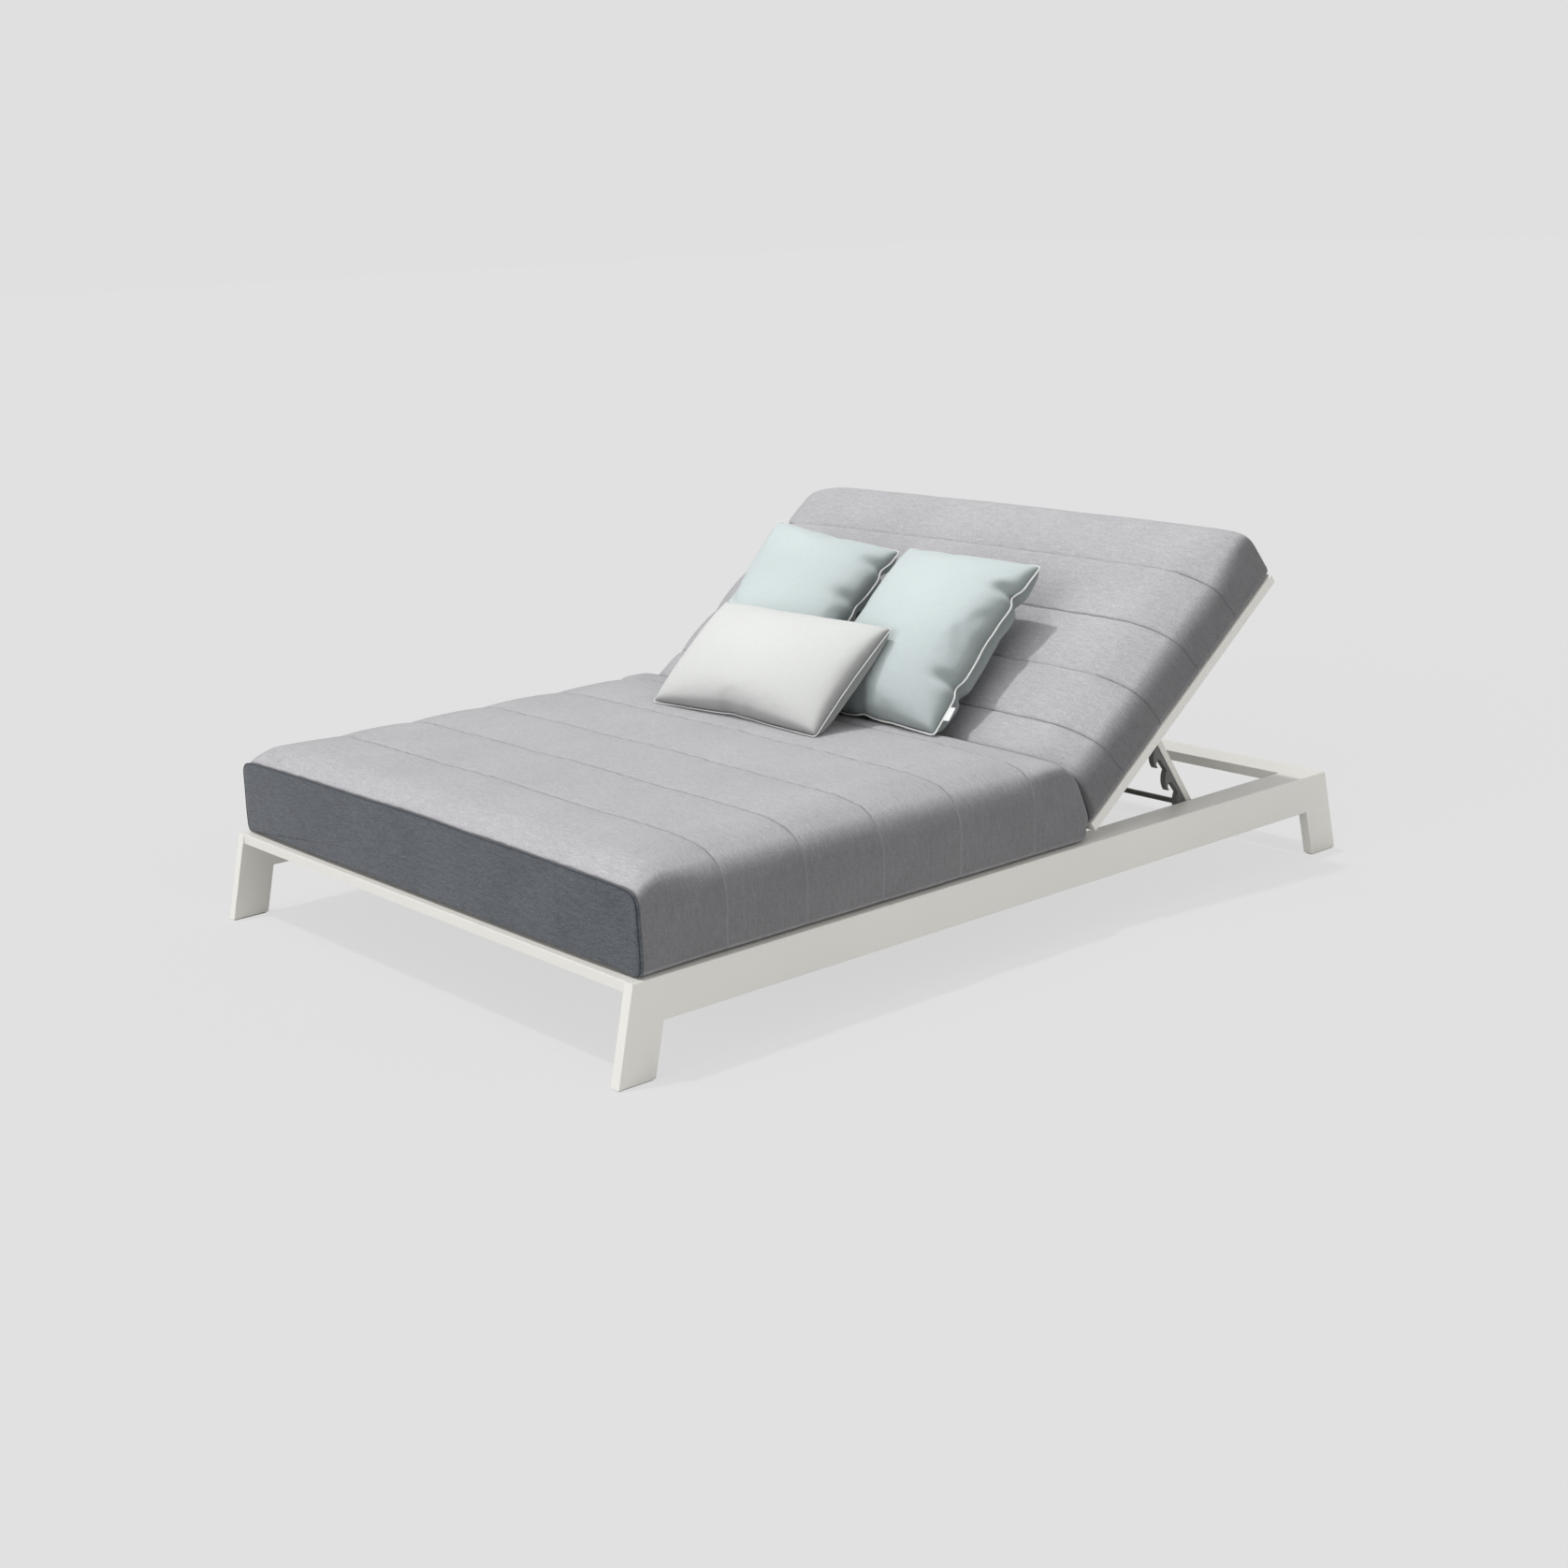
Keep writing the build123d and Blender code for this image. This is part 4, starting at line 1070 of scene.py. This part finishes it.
@dataclass
class Pillow:
    """A loose pillow, sewn from two flat cloths and filled."""

    name: str
    node: str
    body: str
    finish: Finish
    width: float
    height: float
    front_depth: float
    back_depth: float
    place: tuple[float, float, float]
    turn: tuple[float, float, float]
    seed: float
    piping: float = 0.0
    pinches: tuple[tuple[float, float, float, float], ...] = ()
    spare: float = 0.06
    cell: float = 0.010
    frames: int = 24
    pressure: float = 10.0
    tension: float = 160.0
    shear: float = 60.0
    bending: float = 0.8
    start_share: float = 0.5
    plain_share: float = 0.72
    side_draw: float = 0.010
    end_draw: float = 0.008
    front_power: float = 0.40
    back_power: float = 0.27
    dent_loss: float = 0.42
    dent_run: float = 2.6
    seat_top: float = 0.1962
    back_top: float = 0.1530
    seam: Points = field(init=False, repr=False)

    def flat(self) -> tuple[Points, list[list[int]], list[int]]:
        """Two slack cloths joined at their rims.

        Returns:
            Their points with X across, Y to the front and Z up, their faces, and the rim's points in order.
        """
        wide = self.width * (1 + self.spare)
        high = self.height * (1 + self.spare)
        columns = max(8, round(wide / self.cell))
        rows = max(8, round(high / self.cell))
        points, number = [], {}
        for layer, way in ((0, 1), (1, -1)):
            for row in range(rows + 1):
                for column in range(columns + 1):
                    rim = row in (0, rows) or column in (0, columns)
                    if layer and rim:
                        number[1, row, column] = number[0, row, column]
                        continue
                    u, v = column / columns, row / rows
                    number[layer, row, column] = len(points)
                    room = max(0.0, (1 - (2 * u - 1) ** 2) * (1 - (2 * v - 1) ** 2))
                    lump = 1 + 0.12 * noise.noise(Vector((u * 5, v * 5, way + self.seed)))
                    half = self.start_share * (self.front_depth + self.back_depth) / 2
                    depth = way * half * room ** 0.6 * lump
                    points.append(((u - 0.5) * wide, depth, (v - 0.5) * high))
        faces = []
        for layer in (0, 1):
            for row in range(rows):
                for column in range(columns):
                    face = [number[layer, row, column], number[layer, row, column + 1],
                            number[layer, row + 1, column + 1], number[layer, row + 1, column]]
                    faces.append(face if layer else face[::-1])
        rim = [number[0, row, column] for row, column in rim_places(columns, rows)]
        return np.array(points), faces, rim

    def plain_fill(self, points: Points) -> Points:
        """A plain filled shape, which is blended with the simulated one."""
        out = points.copy()
        u = points[:, 0] / np.abs(points[:, 0]).max()
        v = points[:, 2] / np.abs(points[:, 2]).max()
        room = np.clip((1 - u ** 2) * (1 - v ** 2), 0, 1)
        out[:, 1] = np.where(points[:, 1] > 0, room ** self.front_power, -room ** self.back_power)
        out[np.abs(points[:, 1]) < 1e-9, 1] = 0
        out[:, 0] *= 1 - self.spare - 0.03 * (1 - v ** 2)
        out[:, 2] *= 1 - self.spare - 0.03 * (1 - u ** 2)
        return out

    def filled(self, piece: bpy.types.Object) -> Points:
        """Fills the sewn cloths by a cloth simulation with pressure, and gives its points.

        Args:
            piece: The flat sewn cloths.

        Returns:
            The points once filled.
        """
        maker = piece.modifiers.new("fill", "CLOTH")
        cloth = maker.settings
        cloth.quality = 8
        cloth.mass = 0.25
        cloth.tension_stiffness = self.tension
        cloth.compression_stiffness = self.tension
        cloth.shear_stiffness = self.shear
        cloth.bending_stiffness = self.bending
        cloth.air_damping = 4
        cloth.use_pressure = True
        cloth.uniform_pressure_force = self.pressure
        cloth.effector_weights.gravity = 0
        maker.point_cache.frame_start = 1
        maker.point_cache.frame_end = self.frames
        view = bpy.context.scene
        for number in range(1, self.frames + 1):
            view.frame_set(number)
        shown = piece.evaluated_get(bpy.context.evaluated_depsgraph_get()).data
        out = np.zeros(len(shown.vertices) * 3)
        shown.vertices.foreach_get("co", out)
        piece.modifiers.remove(maker)
        view.frame_set(1)
        return out.reshape(-1, 3)

    def fitted(self, points: Points, rim: Sequence[int]) -> Points:
        """Takes the filled shape to the pillow's own size.

        Args:
            points: The filled pillow.
            rim: Which of its points lie on the seam.

        Returns:
            The pillow with its bottom edge at Z 0, and its sides and ends drawn in as far as they should be.
        """
        out = points - (points.max(axis=0) + points.min(axis=0)) / 2
        out[:, 0] *= self.width / np.ptp(out[:, 0])
        out[:, 2] *= self.height / np.ptp(out[:, 2])
        u, v = out[:, 0] / (self.width / 2), out[:, 2] / (self.height / 2)
        sides = (0, v, self.width, self.side_draw)
        ends = (2, u, self.height, self.end_draw)
        for axis, other, size, draw in (sides, ends):
            seam = out[rim]
            middle = np.abs(other[rim]) < 0.35
            far = np.abs(seam[:, axis]) > size / 4
            now = np.abs(seam[middle & far, axis]).mean()
            out[:, axis] *= 1 + ((size / 2 - draw) / now - 1) * np.clip(1 - other ** 2, 0, 1)
        out[:, 1] = np.where(out[:, 1] > 0, out[:, 1] * self.front_depth / out[:, 1].max(),
                             out[:, 1] * self.back_depth / -out[:, 1].min())
        out[:, 2] += self.height / 2
        return out

    def pinched(self, points: Points, rim: Sequence[int]) -> Points:
        """Draws the seam in and the filling down at the pillow's own dents.

        Args:
            points: The filled and fitted pillow.
            rim: Which of its points lie on the seam.

        Returns:
            The dented pillow.
        """
        out = points.copy()
        for across, up, depth, reach in self.pinches:
            wanted = np.array((across * self.width / 2, (1 + up) * self.height / 2))
            seam = points[rim][:, (0, 2)]
            spot = seam[np.argmin(np.linalg.norm(seam - wanted, axis=1))]
            inward = np.array((0.0, self.height / 2)) - spot
            inward = np.where(np.abs(inward) == np.abs(inward).max(), np.sign(inward), 0.0)
            gap = points[:, (0, 2)] - spot
            along = gap @ inward
            aside = np.linalg.norm(gap - along[:, None] * inward, axis=1)
            weight = np.exp(-(aside / reach) ** 2 - (np.maximum(along, 0) / (self.dent_run * reach)) ** 2)
            out[:, 0] += inward[0] * depth * weight
            out[:, 2] += inward[1] * depth * weight
            out[:, 1] *= 1 - self.dent_loss * weight
        return out

    def matrix(self) -> Matrix:
        """Where the upright pillow goes: its roll, its lean and its yaw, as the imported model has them."""
        yaw, lean, roll = (math.radians(angle) for angle in self.turn)
        middle = Vector((0, 0, self.height / 2))
        rolled = Matrix.Translation(middle) @ Matrix.Rotation(roll, 4, "Y") @ Matrix.Translation(-middle)
        up = Vector((math.cos(lean), 0, math.sin(lean)))
        side = Vector((0, 1, 0))
        leaned = Matrix((side, up.cross(side), up)).transposed().to_4x4()
        return Matrix.Translation(self.place) @ Matrix.Rotation(yaw, 4, "Z") @ leaned @ rolled

    def middle(self) -> Vector:
        """The pillow's middle."""
        return self.matrix() @ Vector((0, 0, self.height / 2))

    def settled(self, points: Points) -> Points:
        """Flattens a placed pillow where it rests on the two cushions."""
        out = points.copy()
        floor = SEAT_BASE + self.seat_top
        low = out[:, 2] < floor
        out[low, 2] = floor + (out[low, 2] - floor) * 0.02
        normal = np.array((-math.sin(RAISED), 0, math.cos(RAISED)))
        origin = np.array((BACK_ORIGIN[0], 0, BACK_ORIGIN[1]))
        above = (out - origin) @ normal - self.back_top
        deep = above < 0
        out[deep] -= normal[None, :] * above[deep][:, None] * 0.98
        return out

    def build(self) -> bpy.types.Object:
        """Sews, fills, places and dresses the pillow and its piping.

        Returns:
            The pillow.
        """
        points, faces, rim = self.flat()
        piece = make_mesh(self.name, points, faces)
        lie = np.column_stack([points[:, 2], points[:, 0], np.sign(points[:, 1]) * 0.5])
        placed = self.fitted(self.plain_fill(points), rim)
        placed = placed * self.plain_share + self.fitted(self.filled(piece), rim) * (1 - self.plain_share)
        placed = self.pinched(placed, rim)
        turn = np.array(self.matrix())
        placed = self.settled(placed @ turn[:3, :3].T + turn[:3, 3])
        piece.data.vertices.foreach_set("co", placed.astype(np.float32).ravel())
        keep(piece, "cloth", lie)
        edge = np.zeros(len(points))
        edge[rim] = 1.0
        # The rim takes the seam colour: a dark seam line with painted shade in it.
        keep(piece, "seam", edge * 0.6)
        finer = piece.modifiers.new("finer", "SUBSURF")
        finer.levels = 1
        smooth = bpy.data.meshes.new_from_object(piece.evaluated_get(bpy.context.evaluated_depsgraph_get()))
        piece.modifiers.remove(finer)
        piece.data = smooth
        smooth.name = self.name
        normals = np.zeros(len(smooth.vertices) * 3)
        smooth.vertex_normals.foreach_get("vector", normals)
        normals = normals.reshape(-1, 3)
        # Painted shade: faces turned downwards or towards -Y are marked, and the pillow's cloth paints them
        # darker.
        turned = 0.75 * np.maximum(0, -normals[:, 1]) + 0.9 * np.clip((0.8 - normals[:, 2]) / 0.9, 0, 1)
        keep(piece, "side", np.clip(turned, 0, 1))
        dress(piece, self.finish, self.body, [self.node])
        self.seam = (np.roll(placed[rim], 1, axis=0) + 2 * placed[rim] + np.roll(placed[rim], -1, axis=0)) / 4
        if self.piping:
            self.build_piping()
        return piece

    def build_piping(self) -> bpy.types.Object:
        """Builds the paler piping along the pillow's seam."""
        points, faces = tube(self.seam, self.piping, 8, True)
        piece = make_mesh(self.name + "_piping", points, faces)
        keep(piece, "cloth", points)
        return dress(piece, Finish.WHITE, self.body)


@dataclass
class PillowTag:
    """A small bare tag sewn in a pillow's side seam."""

    length: float = 0.019
    width: float = 0.034
    thick: float = 0.0009

    def build(self, pillow: Pillow) -> bpy.types.Object:
        """Builds the tag as a thin strip with a soft curl.

        Args:
            pillow: The pillow that carries it.

        Returns:
            The tag.
        """
        low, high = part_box("pillow_tag")
        packed = (low + high) / 2
        place = int(np.argmin(np.linalg.norm(pillow.seam - np.array(packed), axis=1)))
        count = len(pillow.seam)
        up = Vector(pillow.seam[place - 2] - pillow.seam[(place + 2) % count]).normalized()
        face = pillow.matrix().to_3x3() @ Vector((0, 1, 0))
        face = (face - up * face.dot(up)).normalized()
        out = face.cross(up) if face.cross(up).dot(packed - pillow.middle()) > 0 else up.cross(face)
        middle = Vector(pillow.seam[place]) + out * self.length / 2
        columns, rows = 8, 10
        points, lies, faces = [], [], []
        for side in (1, -1):
            for row in range(rows + 1):
                for column in range(columns + 1):
                    u, v = column / columns, row / rows
                    curl = 0.0025 * math.sin(u * 2.4) * (0.6 + 0.8 * v) + side * self.thick / 2
                    spot = middle + out * (u - 0.5) * self.length + up * (v - 0.5) * self.width + face * curl
                    points.append(spot)
                    lies.append((u * self.length, v * self.width, 0))
        layer = (columns + 1) * (rows + 1)
        for side in (0, 1):
            for row in range(rows):
                for column in range(columns):
                    corner = side * layer + row * (columns + 1) + column
                    faces.append([corner, corner + 1, corner + columns + 2, corner + columns + 1])
        rim = [row * (columns + 1) + column for row, column in rim_places(columns, rows)]
        for here, after in zip(rim, rim[1:] + rim[:1]):
            faces.append([here, after, layer + after, layer + here])
        piece = make_mesh("pillow_tag_strip", np.array([tuple(point) for point in points]), faces)
        keep(piece, "cloth", np.array(lies))
        return dress(piece, Finish.TAG, pillow.body, ["pillow_tag"])


# Frame and stage


@dataclass
class FrameFinishes:
    """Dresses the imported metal, plastic and rubber pieces."""

    def dress(self) -> None:
        """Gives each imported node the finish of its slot."""
        by_slot = {finish.value.name: made for finish, made in MADE.items()}
        slots = {row["node"]: row["material_slot"] for row in frame["record"]["subparts"]}
        for name, pieces in frame["nodes"].items():
            for piece in pieces if isinstance(pieces, list) else [pieces]:
                for place in range(len(piece.material_slots)):
                    piece.material_slots[place].material = by_slot[slots[name]]
            log.info("%s: %s", name, slots[name])


@dataclass
class Stage:
    """The floor, the lamps, the pale surround and the camera."""

    surround: Rgb = (224, 224, 224)
    eye: tuple[float, float, float] = (-3.251456, -3.813896, 1.539813)
    right: tuple[float, float, float] = (0.75654296, -0.6529971, -0.03517852)
    up: tuple[float, float, float] = (0.19070547, 0.16885016, 0.96701657)
    forward: tuple[float, float, float] = (0.62551912, 0.73829832, -0.25227252)
    lens: float = 52.606
    floor_reach: float = 40.0
    shadow_share: float = 0.16
    sky: float = 0.36
    lamps: tuple[tuple[str, tuple[float, float, float], float, float], ...] = (
        ("key", (0.19, -0.18, -0.97), 1.38, 3.0),
        ("soft_key", (0.19, -0.18, -0.97), 0.45, 45.0),
        ("front_fill", (0.93, 0.16, -0.22), 1.35, 50.0),
        ("side_fill", (-0.12, 0.95, -0.28), 0.42, 50.0),
    )

    def build(self) -> None:
        """Builds the whole stage."""
        self.build_floor()
        self.build_world()
        for name, travel, strength, spread in self.lamps:
            self.build_lamp(name, travel, strength, spread)
        self.build_camera()
        bpy.context.scene.view_settings.view_transform = "Standard"

    def build_floor(self) -> None:
        """Builds the floor, which the camera sees nearly as pale as the surround."""
        reach = self.floor_reach
        corners = np.array([(-reach, -reach, 0), (reach, -reach, 0), (reach, reach, 0), (-reach, reach, 0)])
        floor = make_mesh("floor", corners, [[0, 1, 2, 3]])
        graph = Graph(bpy.data.materials.new("floor_paint"))
        surround = linear(self.surround)
        grain = graph.noise(graph.place(), 60.0, 2.0)
        paint = graph.mix(grain, surround, linear(tuple(value * 0.99 for value in self.surround)))
        lit = graph.node("ShaderNodeBsdfDiffuse", {}, {"Color": paint})
        glow = graph.node("ShaderNodeEmission", {}, {"Color": surround, "Strength": 1.0})
        rays = graph.node("ShaderNodeLightPath", {}, {}, "Is Camera Ray")
        shown = graph.node("ShaderNodeMixShader", {}, {0: rays * (1 - self.shadow_share), 1: lit, 2: glow})
        floor.data.materials.append(graph.surface(shown))

    def build_world(self) -> None:
        """Makes the surround pale for the camera and for gloss, and dimmer as a lamp."""
        graph = Graph(bpy.data.worlds.new("surround"))
        bpy.context.scene.world = graph.holder
        camera, gloss, through_glass = (graph.node("ShaderNodeLightPath", {}, {}, f"Is {kind} Ray")
                                        for kind in ("Camera", "Glossy", "Transmission"))
        direct = camera.math("MAXIMUM", gloss).math("MAXIMUM", through_glass)
        lamp = graph.node("ShaderNodeBackground", {}, {"Color": (1.0, 1.0, 1.0, 1.0), "Strength": self.sky})
        seen = graph.node("ShaderNodeBackground", {}, {"Color": linear(self.surround)})
        mixed = graph.node("ShaderNodeMixShader", {}, {0: direct, 1: lamp, 2: seen})
        graph.surface(mixed, "World")

    def build_lamp(self, name: str, travel: Sequence[float], strength: float, spread: float) -> None:
        """Adds one far lamp.

        Args:
            name: The lamp's name.
            travel: The way its light travels.
            strength: Its strength.
            spread: How wide it looks from the lounger, in degrees.
        """
        data = bpy.data.lights.new(name, "SUN")
        data.energy = strength
        data.angle = math.radians(spread)
        lamp = bpy.data.objects.new(name, data)
        lamp.rotation_euler = Vector(travel).to_track_quat("-Z", "Y").to_euler()
        bpy.context.scene.collection.objects.link(lamp)

    def build_camera(self) -> None:
        """Sets the camera where the photograph was taken."""
        data = bpy.data.cameras.new("camera")
        data.lens = self.lens
        data.sensor_width = 36.0
        data.clip_end = 200.0
        camera = bpy.data.objects.new("camera", data)
        turn = Matrix((self.right, self.up, -Vector(self.forward))).transposed().to_4x4()
        camera.matrix_world = Matrix.Translation(self.eye) @ turn
        bpy.context.scene.collection.objects.link(camera)
        bpy.context.scene.camera = camera


def main() -> None:
    """Builds the lounger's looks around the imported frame."""
    logging.basicConfig(level=logging.INFO, format="%(name)s: %(message)s")
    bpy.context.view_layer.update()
    for finish in Finish:
        MADE[finish] = finish.value.make()
    Stage().build()
    FrameFinishes().dress()
    seat = SeatCushion()
    cover = dress(seat.build(), Finish.COVER, "base", ["seat_cushion"], rides=False)
    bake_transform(cover)
    panel = FrontPanel()
    panel.build(seat)
    panel.build_piping(seat)
    dress(BackCushion().build(), Finish.COVER, "backrest", ["back_cushion"])
    right = Pillow(
        "right_pillow_cover", "right_pillow", "right_pillow", Finish.MINT,
        0.411, 0.467, 0.082, 0.085, (0.061, -0.196, 0.3963), (0.6, 43.2, 0.0), 5.3, piping=0.0022,
        pinches=((-1.0, 0.6, 0.022, 0.013), (-1.0, -0.48, 0.014, 0.013),
                 (0.1, -1.0, 0.008, 0.014), (0.5, -1.0, 0.006, 0.012)),
    )
    right.build()
    PillowTag().build(right)
    left = Pillow(
        "left_pillow_cover", "left_pillow", "left_pillow", Finish.MINT,
        0.411, 0.467, 0.082, 0.085, (0.080, 0.272, 0.4124), (10.0, 41.0, -9.0), 8.9, piping=0.0022,
        pinches=((-1.0, 0.72, 0.014, 0.015), (-1.0, 0.25, 0.008, 0.016),
                 (1.0, -0.8, 0.045, 0.13), (1.0, 0.1, 0.020, 0.15)),
    )
    left.build()
    lumbar = Pillow(
        "lumbar_pillow_cover", "lumbar_pillow", "lumbar_pillow", Finish.WHITE,
        0.551, 0.310, 0.062, 0.066, (-0.121, 0.055, 0.3973), (1.6, 40.2, 0.0), 2.2, piping=0.0012,
        frames=18, plain_share=0.82, side_draw=0.006,
    )
    lumbar.build()


if __name__ == "__main__":
    main()
